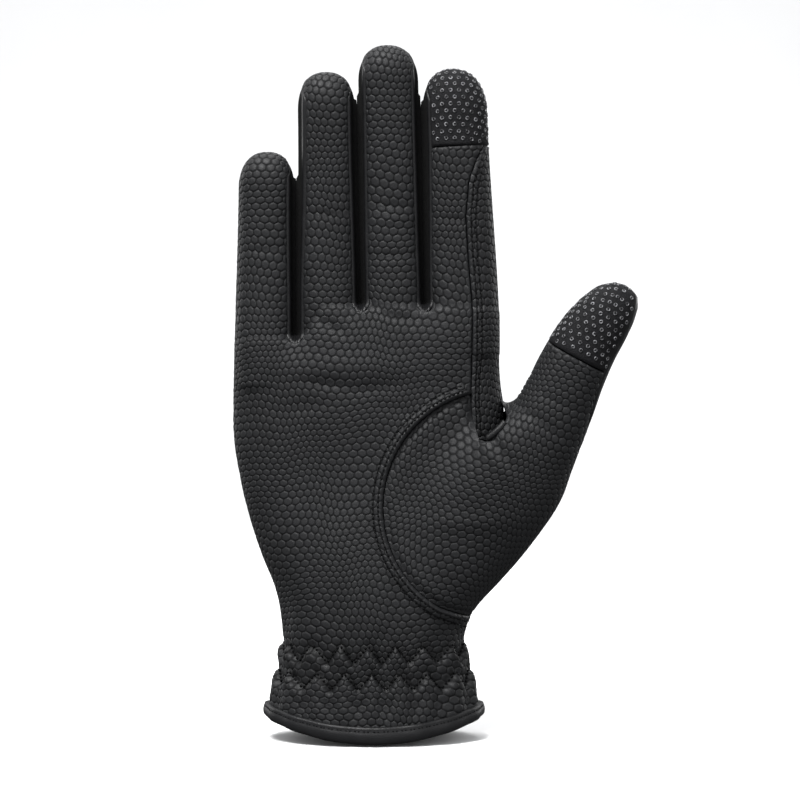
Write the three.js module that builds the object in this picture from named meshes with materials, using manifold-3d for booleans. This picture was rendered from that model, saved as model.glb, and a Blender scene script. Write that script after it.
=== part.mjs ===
// A riding glove as worn, held open: fingers up along +Z, palm towards -Y, thumb towards +X.
// The origin is the middle of the cuff's opening, level with the lowest point of the hem.
// All lengths are in millimetres.
import * as THREE from "three";
import { mergeVertices } from "three/addons/utils/BufferGeometryUtils.js";
import Module from "manifold-3d";

const wasm = await Module();
wasm.setup();

// Leather, seams and the cuff's binding
const LEATHER = 1.4;
const SEAM_GAP = 0.3;
const BINDING_HEIGHT = 6;
const BINDING_THICKNESS = 1.2;

// Cuff and wrist, measured over the leather
const HEM_WIDTH = 72.5;
const HEM_DEPTH = 50;
const HEM_RISE = 7;
const WRIST_WIDTH = 62.5;
const WRIST_DEPTH = 43;
const WRIST_HEIGHT = 35;
const PLEATS = 16;
const PLEAT_DEPTH = 0.9;
const HOLLOW_PLEAT_SHARE = 0.6;

// Hand, from the wrist to the line where the fingers part
const KNUCKLE_HEIGHT = 145;
const KNUCKLE_DEPTH = 28;
const PALM_OFFSET = -2.4;
const LITTLE_DROP = 10.7;

// Fingers: each one's width at its base and the reach of its tip above the knuckle line
const LITTLE_WIDTH = 20.6;
const LITTLE_REACH = 54.8;
const RING_WIDTH = 21.4;
const RING_REACH = 81.7;
const MIDDLE_WIDTH = 21.2;
const MIDDLE_REACH = 90.7;
const INDEX_WIDTH = 24.9;
const INDEX_REACH = 82.7;
const FINGER_DEPTH = 22;
const FINGER_GAP = 0.8;
const FINGER_ROOT = 14;
const FINGER_ROOT_SCALE = 0.92;
const CURL = 7;
const CURL_EXPONENT = 1.6;

// tilt: how far the tip leans sideways, in shares of the finger's width; taper: the share of the
// width that is left below the tip
const FINGERS = [
  { name: "little", width: LITTLE_WIDTH, reach: LITTLE_REACH, tilt: 0.044, taper: 0.93 },
  { name: "ring", width: RING_WIDTH, reach: RING_REACH, tilt: -0.033, taper: 0.93 },
  { name: "middle", width: MIDDLE_WIDTH, reach: MIDDLE_REACH, tilt: -0.09, taper: 0.98 },
  { name: "index", width: INDEX_WIDTH, reach: INDEX_REACH, tilt: -0.14, taper: 0.89 },
];
const FOURCHETTE_WIDTH = 2.9;

// Web between thumb and index finger: how far out of the finger's edge and below the knuckle line
const WEB_OUT = 2.4;
const WEB_DROP = 36;

// Thumb: its root lies inside the palm, inwards, below and in front of the web, and its axis leans
// out and a little forward
const THUMB_ROOT_IN = 9.6;
const THUMB_ROOT_DROP = 42;
const THUMB_ROOT_FORWARD = 5;
const THUMB_LENGTH = 100.5;
const THUMB_WIDTH = 23;
const THUMB_DEPTH = 22;
const THUMB_SPREAD = THREE.MathUtils.degToRad(28.1);
const THUMB_FORWARD = THREE.MathUtils.degToRad(6.5);
const THUMB_BACK_SEAM = 2;
const THUMB_SQUARE = 2.2;
const THUMB_PATCH_LENGTH = 29;

// Set-in thumb panel: a round seam in the palm, its centre placed from the web, and a shallower
// one on the back
const PALM_ARC_RADIUS = 39;
const PALM_ARC_IN = 2.9;
const PALM_ARC_DROP = 30;
const PALM_ARC_END = Math.PI * 1.56;
const BACK_ARC_RADIUS = 31;
const BACK_ARC_INSET = 15;

// Index finger: textile tip and side panel
const INDEX_PATCH_LENGTH = 26;
const INDEX_PATCH_WRAP = 2;
const SIDE_PANEL_WIDTH = 9.4;
const SIDE_PANEL_BACK_WIDTH = 4;
const SIDE_PANEL_DROP = 8.3;

// Facets round the palm, a finger and the thumb
const PALM_SEGMENTS = 48;
const FINGER_SEGMENTS = 12;
const THUMB_SEGMENTS = 16;
const HOLLOW_FINGER_SEGMENTS = 8;
const HOLLOW_THUMB_SEGMENTS = 10;
const ARC_SEGMENTS = 16;
const FOOT_SEGMENTS = 6;
const CURL_STEPS = 4;
const FAR = 400;

// at: share of the wrist's height; flare: 0 at the wrist's size, 1 at the hem's;
// pleat: share of the pleats' depth; square: exponent of the section's outline
const CUFF_SECTIONS = [
  { at: 0, flare: 1, pleat: 0, square: 2.1 },
  { at: 0.28, flare: 0.86, pleat: 0.25, square: 2.1 },
  { at: 0.43, flare: 0.58, pleat: 0.7, square: 2.15 },
  { at: 0.57, flare: 0.4, pleat: 1, square: 2.2 },
  { at: 0.72, flare: 0.2, pleat: 1, square: 2.2 },
  { at: 0.87, flare: 0.06, pleat: 1, square: 2.25 },
  { at: 1, flare: 0, pleat: 0.6, square: 2.3 },
];

// at: share of the way from wrist to knuckles; little, index: how far each side has gone from
// the wrist's half width to the knuckles'; depth: the same for the thickness
const PALM_SECTIONS = [
  { at: 0.08, little: 0.04, index: 0.27, depth: 0.05, square: 2.3 },
  { at: 0.17, little: 0.17, index: 0.84, depth: 0.16, square: 2.35 },
  { at: 0.26, little: 0.4, index: 1.2, depth: 0.34, square: 2.4 },
  { at: 0.36, little: 0.61, index: 1.2, depth: 0.55, square: 2.45 },
  { at: 0.46, little: 0.78, index: 1.14, depth: 0.72, square: 2.5 },
  { at: 0.56, little: 0.91, index: 1.12, depth: 0.84, square: 2.55 },
  { at: 0.65, little: 1, index: 1.15, depth: 0.91, square: 2.6 },
  { at: 0.72, little: 1.03, index: 1.12, depth: 0.96, square: 2.6 },
  { at: 0.77, little: 1.03, index: 1.05, depth: 0.99, square: 2.6 },
  { at: 0.82, little: 1.03, index: 1.01, depth: 1.01, square: 2.7 },
  { at: 0.88, little: 1.02, index: 1, depth: 1.08, square: 3 },
  { at: 0.94, little: 1, index: 1, depth: 1.2, square: 3.6 },
  { at: 1, little: 0.98, index: 0.98, depth: 1.46, square: 5 },
];

// Folds pressed into the palm side. across: share of the knuckles' width, up: share of the way
// from wrist to knuckles, long and wide: shares of the knuckles' width, deep: share of their depth
const PALM_FOLDS = [
  { across: -0.03, up: 0.77, long: 0.26, wide: 0.05, deep: 0.045, turn: 3 },
  { across: -0.07, up: 0.85, long: 0.28, wide: 0.06, deep: -0.03, turn: 0 },
  { across: -0.12, up: 0.5, long: 0.22, wide: 0.26, deep: 0.07, turn: -20 },
  { across: -0.15, up: 0.96, long: 0.08, wide: 0.05, deep: 0.04, turn: -30 },
  { across: 0.24, up: 0.97, long: 0.1, wide: 0.05, deep: 0.03, turn: -18 },
];

// at: share of a finger's length above its base; thick: share of the fingers' depth there
const FINGER_SECTIONS = [
  { at: 0.02, thick: 0.98 },
  { at: 0.18, thick: 0.92 },
  { at: 0.45, thick: 0.85 },
];
const FINGER_TIP_THICK = 0.78;
const FINGER_SQUARE = 2.5;
const DOME_SQUARE = 2.3;
const DOME_HEIGHT_SHARE = 0.62;
const DOME_STEPS = [0, 0.45, 0.75, 0.93];

// along: share of the thumb's length; inner, outer: its two edges from the axis, in shares of its
// width; thick: share of its depth
const THUMB_SECTIONS = [
  { along: -0.24, inner: -0.5, outer: 0.16, thick: 0.55 },
  { along: -0.12, inner: -0.85, outer: 0.4, thick: 0.95 },
  { along: 0, inner: -1.05, outer: 0.6, thick: 1.16 },
  { along: 0.13, inner: -1.05, outer: 0.74, thick: 1.28 },
  { along: 0.26, inner: -0.95, outer: 0.78, thick: 1.29 },
  { along: 0.37, inner: -0.74, outer: 0.71, thick: 1.22 },
  { along: 0.46, inner: -0.52, outer: 0.655, thick: 1.14 },
  { along: 0.56, inner: -0.49, outer: 0.6, thick: 1.07 },
  { along: 0.66, inner: -0.5, outer: 0.53, thick: 1.02 },
  { along: 0.76, inner: -0.49, outer: 0.49, thick: 0.98 },
  { along: 0.85, inner: -0.42, outer: 0.485, thick: 0.9 },
  { along: 0.92, inner: -0.31, outer: 0.455, thick: 0.77 },
  { along: 0.965, inner: -0.18, outer: 0.39, thick: 0.58 },
  { along: 0.99, inner: -0.03, outer: 0.28, thick: 0.34 },
];

// The seam along the thumb's outer edge, seen from the palm side
const THUMB_SIDE_SEAM = [
  { along: 0.47, outer: 0.75 },
  { along: 0.53, outer: 0.575 },
  { along: 0.62, outer: 0.465 },
  { along: 0.7, outer: 0.415 },
  { along: 0.85, outer: 0.37 },
  { along: 1.2, outer: 0.35 },
];

// The side panel's palm edge. up: share of the way from its foot to the textile tip;
// width: share of the panel's width, from the index finger's outer edge
const SIDE_PANEL_EDGE = [
  { up: 0, width: 0.86 },
  { up: 0.13, width: 1 },
  { up: 0.48, width: 0.98 },
  { up: 0.62, width: 1.05 },
  { up: 0.76, width: 1.07 },
  { up: 0.88, width: 0.9 },
  { up: 0.96, width: 0.55 },
  { up: 1.0, width: 0.2 },
];

// The side panel's foot below the web between thumb and index finger. width: share of the panel's
// width, from the web; down: share of the panel's drop below the web
const SIDE_PANEL_FOOT = [
  { width: 0.15, down: 0.6 },
  { width: 0.38, down: 0.95 },
];

const KNUCKLE_WIDTH =
  FINGERS.reduce((sum, finger) => sum + finger.width, 0) + FINGER_GAP * (FINGERS.length - 1);
const LITTLE_EDGE = PALM_OFFSET - KNUCKLE_WIDTH / 2;
const INDEX_EDGE = PALM_OFFSET + KNUCKLE_WIDTH / 2;
FINGERS.forEach((finger, i) => {
  const before = FINGERS.slice(0, i).reduce((sum, f) => sum + f.width + FINGER_GAP, 0);
  finger.x = LITTLE_EDGE + before + finger.width / 2;
  finger.lean = finger.tilt * finger.width;
});
const [LITTLE, RING, , INDEX] = FINGERS;
const TALLEST = Math.max(...FINGERS.map((finger) => finger.reach));
const WEB_X = INDEX_EDGE + WEB_OUT;
const WEB_Z = KNUCKLE_HEIGHT - WEB_DROP;

const mix = THREE.MathUtils.lerp;
const power = (value, exponent) => Math.sign(value) * Math.abs(value) ** exponent;

// A table's value at a place between two of its rows.
function lookUp(table, key, place, column) {
  const next = table.findIndex((row) => row[key] >= place);
  if (next === 0) return table[0][column];
  if (next < 0) return table[table.length - 1][column];
  const [a, b] = [table[next - 1], table[next]];
  return mix(a[column], b[column], (place - a[key]) / (b[key] - a[key]));
}

// How far forward the middle of the glove lies at a height: only the fingers curl.
function curl(z) {
  const share = Math.max(0, z - KNUCKLE_HEIGHT) / TALLEST;
  return -CURL * share ** CURL_EXPONENT;
}

// Height of the line where the fingers part: it drops towards the little finger.
function crotchHeight(x) {
  const gap = (LITTLE.x + LITTLE.width / 2 + RING.x - RING.width / 2) / 2;
  const share = THREE.MathUtils.clamp((RING.x - x) / (RING.x - gap), 0, 1);
  return KNUCKLE_HEIGHT - LITTLE_DROP * share;
}

// A closed body through rings of equal numbers of points, from the bottom one to the top one.
// A tip closes the top in a point. Each other end is closed by strips between points that lie
// opposite each other, so that it follows its ring's rise and fall.
function loft(rings, tip) {
  const count = rings[0].length;
  const points = rings.flat();
  const index = [];
  for (let r = 0; r + 1 < rings.length; r++)
    for (let i = 0; i < count; i++) {
      const j = (i + 1) % count;
      const [a, b, c, d] = [r * count + i, r * count + j, (r + 1) * count + j, (r + 1) * count + i];
      index.push(a, b, c, a, c, d);
    }
  const last = (rings.length - 1) * count;
  for (let i = 0; i < count / 2; i++) {
    const [a, b, c, d] = [i, i + 1, count - i - 1, (count - i) % count];
    if (b !== c) index.push(a, c, b);
    if (a !== d) index.push(a, d, c);
    if (tip) continue;
    if (b !== c) index.push(last + a, last + b, last + c);
    if (a !== d) index.push(last + a, last + c, last + d);
  }
  if (tip) {
    for (let i = 0; i < count; i++) index.push(points.length, last + i, last + ((i + 1) % count));
    points.push(tip);
  }
  const geometry = new THREE.BufferGeometry().setFromPoints(points);
  geometry.setIndex(index);
  return geometry;
}

function middle(ring) {
  const sum = ring.reduce((total, point) => total.add(point), new THREE.Vector3());
  return sum.divideScalar(ring.length);
}

// The solid of a closed geometry, ready for joins and cuts.
function solid(geometry, matrix = new THREE.Matrix4()) {
  const bare = geometry.clone().applyMatrix4(matrix);
  bare.deleteAttribute("normal");
  bare.deleteAttribute("uv");
  const merged = mergeVertices(bare, 1e-4);
  return new wasm.Manifold(
    new wasm.Mesh({
      numProp: 3,
      vertProperties: merged.attributes.position.array,
      triVerts: new Uint32Array(merged.index.array),
    }),
  );
}

// Cuff: a point of the wall at an angle, a height above the hem and an offset from the leather's
// face. The hollow has no pleats of its own: there the gathered leather is thicker.
function cuffPoint(angle, height, offset, pleated = true) {
  const at = height / WRIST_HEIGHT;
  const flare = lookUp(CUFF_SECTIONS, "at", at, "flare");
  const square = lookUp(CUFF_SECTIONS, "at", at, "square");
  const gather = lookUp(CUFF_SECTIONS, "at", at, "pleat") * PLEAT_DEPTH;
  const pleat = gather * (pleated ? Math.cos(PLEATS * angle) : -HOLLOW_PLEAT_SHARE);
  const halfWidth = mix(WRIST_WIDTH, HEM_WIDTH, flare) / 2;
  const halfDepth = mix(WRIST_DEPTH, HEM_DEPTH, flare) / 2 + offset + pleat;
  const x = (halfWidth + offset + pleat) * power(Math.cos(angle), 2 / square);
  const rise = HEM_RISE * (x / halfWidth) ** 2 * (1 - at);
  return new THREE.Vector3(x, halfDepth * power(Math.sin(angle), 2 / square), height + rise);
}

// How deep the folds press the palm side in at a place.
function foldDepth(x, z) {
  return PALM_FOLDS.reduce((sum, fold) => {
    const dx = x - PALM_OFFSET - fold.across * KNUCKLE_WIDTH;
    const dz = z - mix(WRIST_HEIGHT, KNUCKLE_HEIGHT, fold.up);
    const turn = THREE.MathUtils.degToRad(fold.turn);
    const along = dx * Math.cos(turn) + dz * Math.sin(turn);
    const across = dz * Math.cos(turn) - dx * Math.sin(turn);
    const far = (along / fold.long) ** 2 + (across / fold.wide) ** 2;
    return sum + fold.deep * KNUCKLE_DEPTH * Math.exp(-far / KNUCKLE_WIDTH ** 2);
  }, 0);
}

// Palm: a point of the wall at an angle, in one of the sections, inset from the leather's face.
function palmPoint(angle, row, inset) {
  const side = Math.cos(angle) < 0 ? row.little : row.index;
  const edge = Math.cos(angle) < 0 ? -LITTLE_EDGE : INDEX_EDGE;
  const halfWidth = mix(WRIST_WIDTH / 2, edge, side) - inset;
  const halfDepth = mix(WRIST_DEPTH, KNUCKLE_DEPTH, row.depth) / 2 - inset;
  const x = halfWidth * power(Math.cos(angle), 2 / row.square);
  const z = mix(WRIST_HEIGHT, crotchHeight(x) - inset, row.at);
  const facing = Math.max(0, -Math.sin(angle));
  const y = halfDepth * power(Math.sin(angle), 2 / row.square) + foldDepth(x, z) * facing;
  return new THREE.Vector3(x, y, z);
}

function ringOf(segments, pointAt) {
  return Array.from({ length: segments }, (_, i) => pointAt((2 * Math.PI * i) / segments));
}

// Cuff and palm in one body, inset by the leather for the hollow, which runs on below the hem.
function palmBody(inset) {
  const hem = BINDING_THICKNESS + SEAM_GAP;
  const heights = CUFF_SECTIONS.map((row) => row.at * WRIST_HEIGHT).filter((h) => h > hem);
  const rings = [hem, ...heights].map((height) =>
    ringOf(PALM_SEGMENTS, (angle) => cuffPoint(angle, height, -inset, inset === 0)),
  );
  if (inset > 0)
    rings.unshift(rings[0].map((point) => point.clone().setZ(point.z - HEM_RISE - BINDING_HEIGHT)));
  for (const row of PALM_SECTIONS)
    rings.push(ringOf(PALM_SEGMENTS, (angle) => palmPoint(angle, row, inset)));
  return solid(loft(rings));
}

// One finger, from its root inside the palm to its rounded tip.
function fingerBody(finger, inset) {
  const drop = KNUCKLE_HEIGHT - crotchHeight(finger.x);
  const bottom = KNUCKLE_HEIGHT - drop;
  const length = finger.reach + drop;
  const dome = finger.width * DOME_HEIGHT_SHARE;
  const segments = inset > 0 ? HOLLOW_FINGER_SEGMENTS : FINGER_SEGMENTS;
  const ringAt = (z, wide, thick) => {
    const x = finger.x + finger.lean * Math.max(0, (z - bottom) / length);
    return ringOf(segments, (angle) =>
      new THREE.Vector3(
        x + wide * power(Math.cos(angle), 2 / FINGER_SQUARE),
        curl(z) + thick * power(Math.sin(angle), 2 / FINGER_SQUARE),
        z,
      ),
    );
  };
  const [first] = FINGER_SECTIONS;
  const rings = [
    ringAt(
      bottom - FINGER_ROOT + inset,
      (finger.width * FINGER_ROOT_SCALE) / 2 - inset,
      (FINGER_DEPTH * FINGER_ROOT_SCALE * first.thick) / 2 - inset,
    ),
  ];
  for (const row of FINGER_SECTIONS)
    rings.push(
      ringAt(
        bottom + row.at * length,
        (finger.width * mix(1, finger.taper, row.at)) / 2 - inset,
        (FINGER_DEPTH * row.thick) / 2 - inset,
      ),
    );
  const start = bottom + length - dome;
  for (const step of DOME_STEPS) {
    const scale = (1 - step ** DOME_SQUARE) ** (1 / DOME_SQUARE);
    rings.push(
      ringAt(
        start + step * (dome - inset),
        ((finger.width * finger.taper) / 2 - inset) * scale,
        ((FINGER_DEPTH * FINGER_TIP_THICK) / 2 - inset) * scale,
      ),
    );
  }
  const top = middle(rings[rings.length - 1]).setZ(bottom + length - inset);
  return solid(loft(rings, top));
}

// The thumb's own frame: its axis is the local Z, its outer edge is at local +X.
const THUMB_FRAME = new THREE.Matrix4()
  .makeTranslation(WEB_X - THUMB_ROOT_IN, -THUMB_ROOT_FORWARD, WEB_Z - THUMB_ROOT_DROP)
  .multiply(new THREE.Matrix4().makeRotationY(THUMB_SPREAD))
  .multiply(new THREE.Matrix4().makeRotationX(THUMB_FORWARD));

function thumbBody(inset) {
  const segments = inset > 0 ? HOLLOW_THUMB_SEGMENTS : THUMB_SEGMENTS;
  const rings = THUMB_SECTIONS.map((row) => {
    const reach = (THUMB_WIDTH * (row.outer - row.inner)) / 2 - inset;
    const thick = (THUMB_DEPTH * row.thick) / 2 - inset;
    const centre = (THUMB_WIDTH * (row.outer + row.inner)) / 2;
    const inward = row.along < 0.5 ? inset : -inset;
    return ringOf(segments, (angle) =>
      new THREE.Vector3(
        centre + reach * power(Math.cos(angle), 2 / THUMB_SQUARE),
        thick * power(Math.sin(angle), 2 / THUMB_SQUARE),
        row.along * THUMB_LENGTH + inward * Math.abs(2 * row.along - 1),
      ),
    );
  });
  const top = middle(rings[rings.length - 1]).setZ(THUMB_LENGTH - inset);
  return solid(loft(rings, top), THUMB_FRAME);
}

// An outline moved outwards by a distance, each side kept parallel to itself.
function grown(outline, distance) {
  const turn = THREE.ShapeUtils.isClockWise(outline) ? -1 : 1;
  const normal = (a, b) => new THREE.Vector2(b.y - a.y, a.x - b.x).normalize().multiplyScalar(turn);
  return outline.map((point, i) => {
    const before = normal(outline[(i + outline.length - 1) % outline.length], point);
    const after = normal(point, outline[(i + 1) % outline.length]);
    const mitre = before.clone().add(after);
    return point.clone().addScaledVector(mitre, distance / (1 + before.dot(after)));
  });
}

// A body that holds all of the glove inside an outline drawn on the palm side.
function through(outline, matrix = new THREE.Matrix4()) {
  const geometry = new THREE.ExtrudeGeometry(new THREE.Shape(outline), {
    depth: 2 * FAR,
    bevelEnabled: false,
  });
  geometry.rotateX(Math.PI / 2).translate(0, FAR, 0);
  return solid(geometry, matrix);
}

// A body that holds all of the glove on one side of its middle, -1 for the palm side and 1 for the
// back, with the cut moved by a distance.
function halfOf(side, distance) {
  const heights = [-FAR, KNUCKLE_HEIGHT];
  for (let step = 1; step <= CURL_STEPS; step++)
    heights.push(KNUCKLE_HEIGHT + (step / (CURL_STEPS - 1)) * TALLEST);
  const edge = heights.map((z) => new THREE.Vector2(curl(z) + distance, z));
  const outline = [
    new THREE.Vector2(side * FAR, -FAR),
    ...edge,
    new THREE.Vector2(side * FAR, heights[heights.length - 1]),
  ];
  const geometry = new THREE.ExtrudeGeometry(new THREE.Shape(outline), {
    depth: 2 * FAR,
    bevelEnabled: false,
  });
  const axes = new THREE.Matrix4().makeBasis(
    new THREE.Vector3(0, 1, 0),
    new THREE.Vector3(0, 0, 1),
    new THREE.Vector3(1, 0, 0),
  );
  return solid(geometry.translate(0, 0, -FAR), axes);
}

const at = (x, z) => new THREE.Vector2(x, z);

// Places on the web between thumb and index finger
const WEB = at(WEB_X, WEB_Z);
const WEB_TOP = at(WEB_X + FAR * Math.tan(THUMB_SPREAD / 2), WEB_Z + FAR);
const PANEL_TOP = KNUCKLE_HEIGHT + INDEX.reach - INDEX_PATCH_LENGTH;
const PANEL_FOOT = WEB_Z - SIDE_PANEL_DROP;
const webAt = (z) => at(WEB_X + (z - WEB_Z) * Math.tan(THUMB_SPREAD / 2), z);
const indexEdge = (z) => INDEX_EDGE + (INDEX.lean * Math.max(0, z - KNUCKLE_HEIGHT)) / INDEX.reach;

function arc(x, z, radius, from, to, segments = ARC_SEGMENTS) {
  return Array.from({ length: segments + 1 }, (_, i) => {
    const angle = mix(from, to, i / segments);
    return at(x + radius * Math.cos(angle), z + radius * Math.sin(angle));
  });
}

// Outline of the side panel on the palm side, and its narrower one on the back.
function sidePanelOutline() {
  const edge = SIDE_PANEL_EDGE.map((row) => {
    const z = mix(PANEL_FOOT, PANEL_TOP, row.up);
    return at(indexEdge(z) - row.width * SIDE_PANEL_WIDTH, z);
  });
  const foot = SIDE_PANEL_FOOT.map((corner) =>
    at(WEB_X - corner.width * SIDE_PANEL_WIDTH, WEB_Z - corner.down * SIDE_PANEL_DROP),
  );
  return [...edge, webAt(PANEL_TOP), WEB, ...foot];
}

function sidePanelBackOutline() {
  const left = (z) => at(indexEdge(z) - SIDE_PANEL_BACK_WIDTH, z);
  return [left(WEB_Z), left(KNUCKLE_HEIGHT), left(PANEL_TOP), webAt(PANEL_TOP), WEB];
}

// Outline of the set-in thumb in the palm: round, and open towards the thumb.
function thumbOutline() {
  const centre = at(WEB_X - PALM_ARC_IN, WEB_Z - PALM_ARC_DROP);
  const start = Math.PI / 2 + Math.asin((centre.x - sidePanelOutline()[0].x) / PALM_ARC_RADIUS);
  const round = arc(centre.x, centre.y, PALM_ARC_RADIUS, start, PALM_ARC_END);
  return [...round, at(FAR, centre.y - PALM_ARC_RADIUS), at(FAR, WEB_TOP.y), WEB_TOP];
}

// The same on the back, where the round seam starts at the web.
function thumbBackOutline() {
  const opening = Math.acos(-BACK_ARC_INSET / BACK_ARC_RADIUS);
  const x = WEB_X + BACK_ARC_INSET;
  const z = WEB_Z - BACK_ARC_RADIUS * Math.sin(opening);
  const round = arc(x, z, BACK_ARC_RADIUS, opening, 2 * Math.PI - opening);
  const low = round[round.length - 1];
  return [...round, at(FAR, low.y), at(FAR, WEB_TOP.y), WEB_TOP];
}

// Outline of the strip between two fingers: a slot with a round foot below the crotch.
function fourchetteOutline(left, right) {
  const foot = at((left.x + left.width / 2 + right.x - right.width / 2) / 2, 0);
  const low = crotchHeight(foot.x) - 2 * LEATHER + FOURCHETTE_WIDTH;
  const lean = (left.lean + right.lean) / 2;
  const top = KNUCKLE_HEIGHT + Math.max(left.reach, right.reach);
  const round = arc(foot.x, low, FOURCHETTE_WIDTH, -Math.PI, 0, FOOT_SEGMENTS);
  return [...round, at(foot.x + lean + FOURCHETTE_WIDTH, top), at(foot.x + lean - FOURCHETTE_WIDTH, top)];
}

// Outline of the textile tip of the index finger, up to the strip beside it.
function indexPatchOutline() {
  const left = INDEX.x - INDEX.width / 2 + INDEX.lean;
  const inner = left + FOURCHETTE_WIDTH + SEAM_GAP;
  const above = PANEL_TOP + FAR / 4;
  return [at(inner, PANEL_TOP), webAt(PANEL_TOP), webAt(above), at(inner, above)];
}

// Outline of the thumb's palm panel in the thumb's own frame
function thumbPanelOutline(from, to) {
  const seam = THUMB_SIDE_SEAM.map((row) => at(row.outer * THUMB_WIDTH, row.along * THUMB_LENGTH));
  const inside = seam.filter((point) => point.y > from && point.y < to);
  const edgeAt = (z) => at(lookUp(THUMB_SIDE_SEAM, "along", z / THUMB_LENGTH, "outer") * THUMB_WIDTH, z);
  const right = from < seam[0].y ? [at(FAR / 4, from), at(FAR / 4, seam[0].y)] : [edgeAt(from)];
  return [at(-FAR / 4, from), ...right, ...inside, edgeAt(to), at(-FAR / 4, to)];
}

// The whole leather skin
const outer = [palmBody(0), ...FINGERS.map((finger) => fingerBody(finger, 0)), thumbBody(0)].reduce(
  (joined, body) => joined.add(body),
);
const hollow = [
  palmBody(LEATHER),
  ...FINGERS.map((finger) => fingerBody(finger, LEATHER)),
  thumbBody(LEATHER),
].reduce((joined, body) => joined.add(body));
const skin = outer.subtract(hollow);

const front = halfOf(-1, -SEAM_GAP / 2);
const back = halfOf(1, SEAM_GAP / 2);

// What an outline on the palm side and one on the back take out of the skin together.
function zone(frontOutline, backOutline, grow) {
  const facing = through(grown(frontOutline, grow));
  const behind = through(grown(backOutline, grow));
  return facing.intersect(front).add(behind.intersect(back)).add(facing.intersect(behind));
}

const sidePanelZone = (grow) => zone(sidePanelOutline(), sidePanelBackOutline(), grow);
const thumbZone = (grow) =>
  zone(thumbOutline(), thumbBackOutline(), grow).subtract(sidePanelZone(SEAM_GAP - grow));
const patchZone = (grow) =>
  through(grown(indexPatchOutline(), grow)).intersect(halfOf(-1, INDEX_PATCH_WRAP + grow));
const pairs = FINGERS.slice(1).map((finger, i) => [FINGERS[i], finger]);
const fourchetteZones = (grow) =>
  pairs.map(([left, right]) => through(grown(fourchetteOutline(left, right), grow)));

// The largest body of a cut, without the slivers that a cut can leave beside it.
function mainBody(cut) {
  return cut.decompose().reduce((best, body) => (body.volume() > best.volume() ? body : best));
}

const taken = [
  sidePanelZone(SEAM_GAP),
  thumbZone(SEAM_GAP),
  patchZone(SEAM_GAP),
  ...fourchetteZones(SEAM_GAP),
].reduce((joined, body) => joined.add(body));

const thumbSkin = skin.intersect(thumbZone(0));
const patchStart = THUMB_LENGTH - THUMB_PATCH_LENGTH;
const [belowThumb, aboveThumb] = [-THUMB_LENGTH, THUMB_LENGTH * 1.3];

// The palm side of the thumb between two heights of its own axis, grown by a distance.
const thumbFace = (from, to, grow) => {
  const outline = grown(thumbPanelOutline(from, to), grow);
  const block = new THREE.BoxGeometry(FAR, FAR, FAR).translate(0, THUMB_BACK_SEAM + grow - FAR / 2, 0);
  return through(outline, THUMB_FRAME).intersect(solid(block, THUMB_FRAME));
};

const HEX_LEATHER = { color: 0x2c2d2f, roughness: 0.5, metalness: 0 };
const SMOOTH_LEATHER = { color: 0x1b1c1e, roughness: 0.42, metalness: 0 };
const TEXTILE = { color: 0x1f2022, roughness: 0.8, metalness: 0 };

const glove = new THREE.Group();

function addPiece(name, geometry, look) {
  const mesh = new THREE.Mesh(geometry, new THREE.MeshStandardMaterial(look));
  mesh.name = name;
  glove.add(mesh);
}

function addCut(name, cut, look) {
  const { vertProperties, triVerts } = mainBody(cut).getMesh();
  const geometry = new THREE.BufferGeometry();
  geometry.setAttribute("position", new THREE.BufferAttribute(vertProperties, 3));
  geometry.setIndex(new THREE.BufferAttribute(triVerts, 1));
  geometry.computeVertexNormals();
  addPiece(name, geometry, look);
}

// Binding: one strip folded over the hem, so its section is a U round the leather's edge.
function bindingGeometry() {
  const inside = -LEATHER - SEAM_GAP;
  const profile = [
    { offset: SEAM_GAP + BINDING_THICKNESS, height: 0 },
    { offset: SEAM_GAP + BINDING_THICKNESS, height: BINDING_HEIGHT },
    { offset: SEAM_GAP, height: BINDING_HEIGHT },
    { offset: SEAM_GAP, height: BINDING_THICKNESS },
    { offset: inside, height: BINDING_THICKNESS },
    { offset: inside, height: BINDING_HEIGHT },
    { offset: inside - BINDING_THICKNESS, height: BINDING_HEIGHT },
    { offset: inside - BINDING_THICKNESS, height: 0 },
  ];
  const points = ringOf(PALM_SEGMENTS, (angle) =>
    profile.map((corner) => cuffPoint(angle, corner.height, corner.offset)),
  ).flat();
  const index = [];
  for (let i = 0; i < PALM_SEGMENTS; i++)
    for (let k = 0; k < profile.length; k++) {
      const next = ((i + 1) % PALM_SEGMENTS) * profile.length;
      const here = i * profile.length;
      const after = (k + 1) % profile.length;
      index.push(here + k, next + k, next + after, here + k, next + after, here + after);
    }
  const geometry = new THREE.BufferGeometry().setFromPoints(points);
  geometry.setIndex(index);
  geometry.computeVertexNormals();
  return geometry;
}

addCut("palm_panel", skin.intersect(front).subtract(taken), HEX_LEATHER);
addCut("back_panel", skin.intersect(back).subtract(taken), HEX_LEATHER);
addCut("index_side_panel", skin.intersect(sidePanelZone(0)), HEX_LEATHER);
addCut(
  "index_tip_patch",
  skin.intersect(patchZone(0)).subtract(fourchetteZones(SEAM_GAP).at(-1)),
  TEXTILE,
);
fourchetteZones(0).forEach((strip, i) => {
  const name = `fourchette_${pairs[i][0].name}_${pairs[i][1].name}`;
  addCut(name, skin.intersect(strip), SMOOTH_LEATHER);
});
addCut("thumb_panel", thumbSkin.intersect(thumbFace(belowThumb, patchStart - SEAM_GAP, 0)), HEX_LEATHER);
addCut("thumb_tip_patch", thumbSkin.intersect(thumbFace(patchStart, aboveThumb, 0)), TEXTILE);
addCut("thumb_back", thumbSkin.subtract(thumbFace(belowThumb, aboveThumb, SEAM_GAP)), SMOOTH_LEATHER);
addPiece("cuff_binding", bindingGeometry(), SMOOTH_LEATHER);

export default glove;
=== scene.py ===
import math

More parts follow.
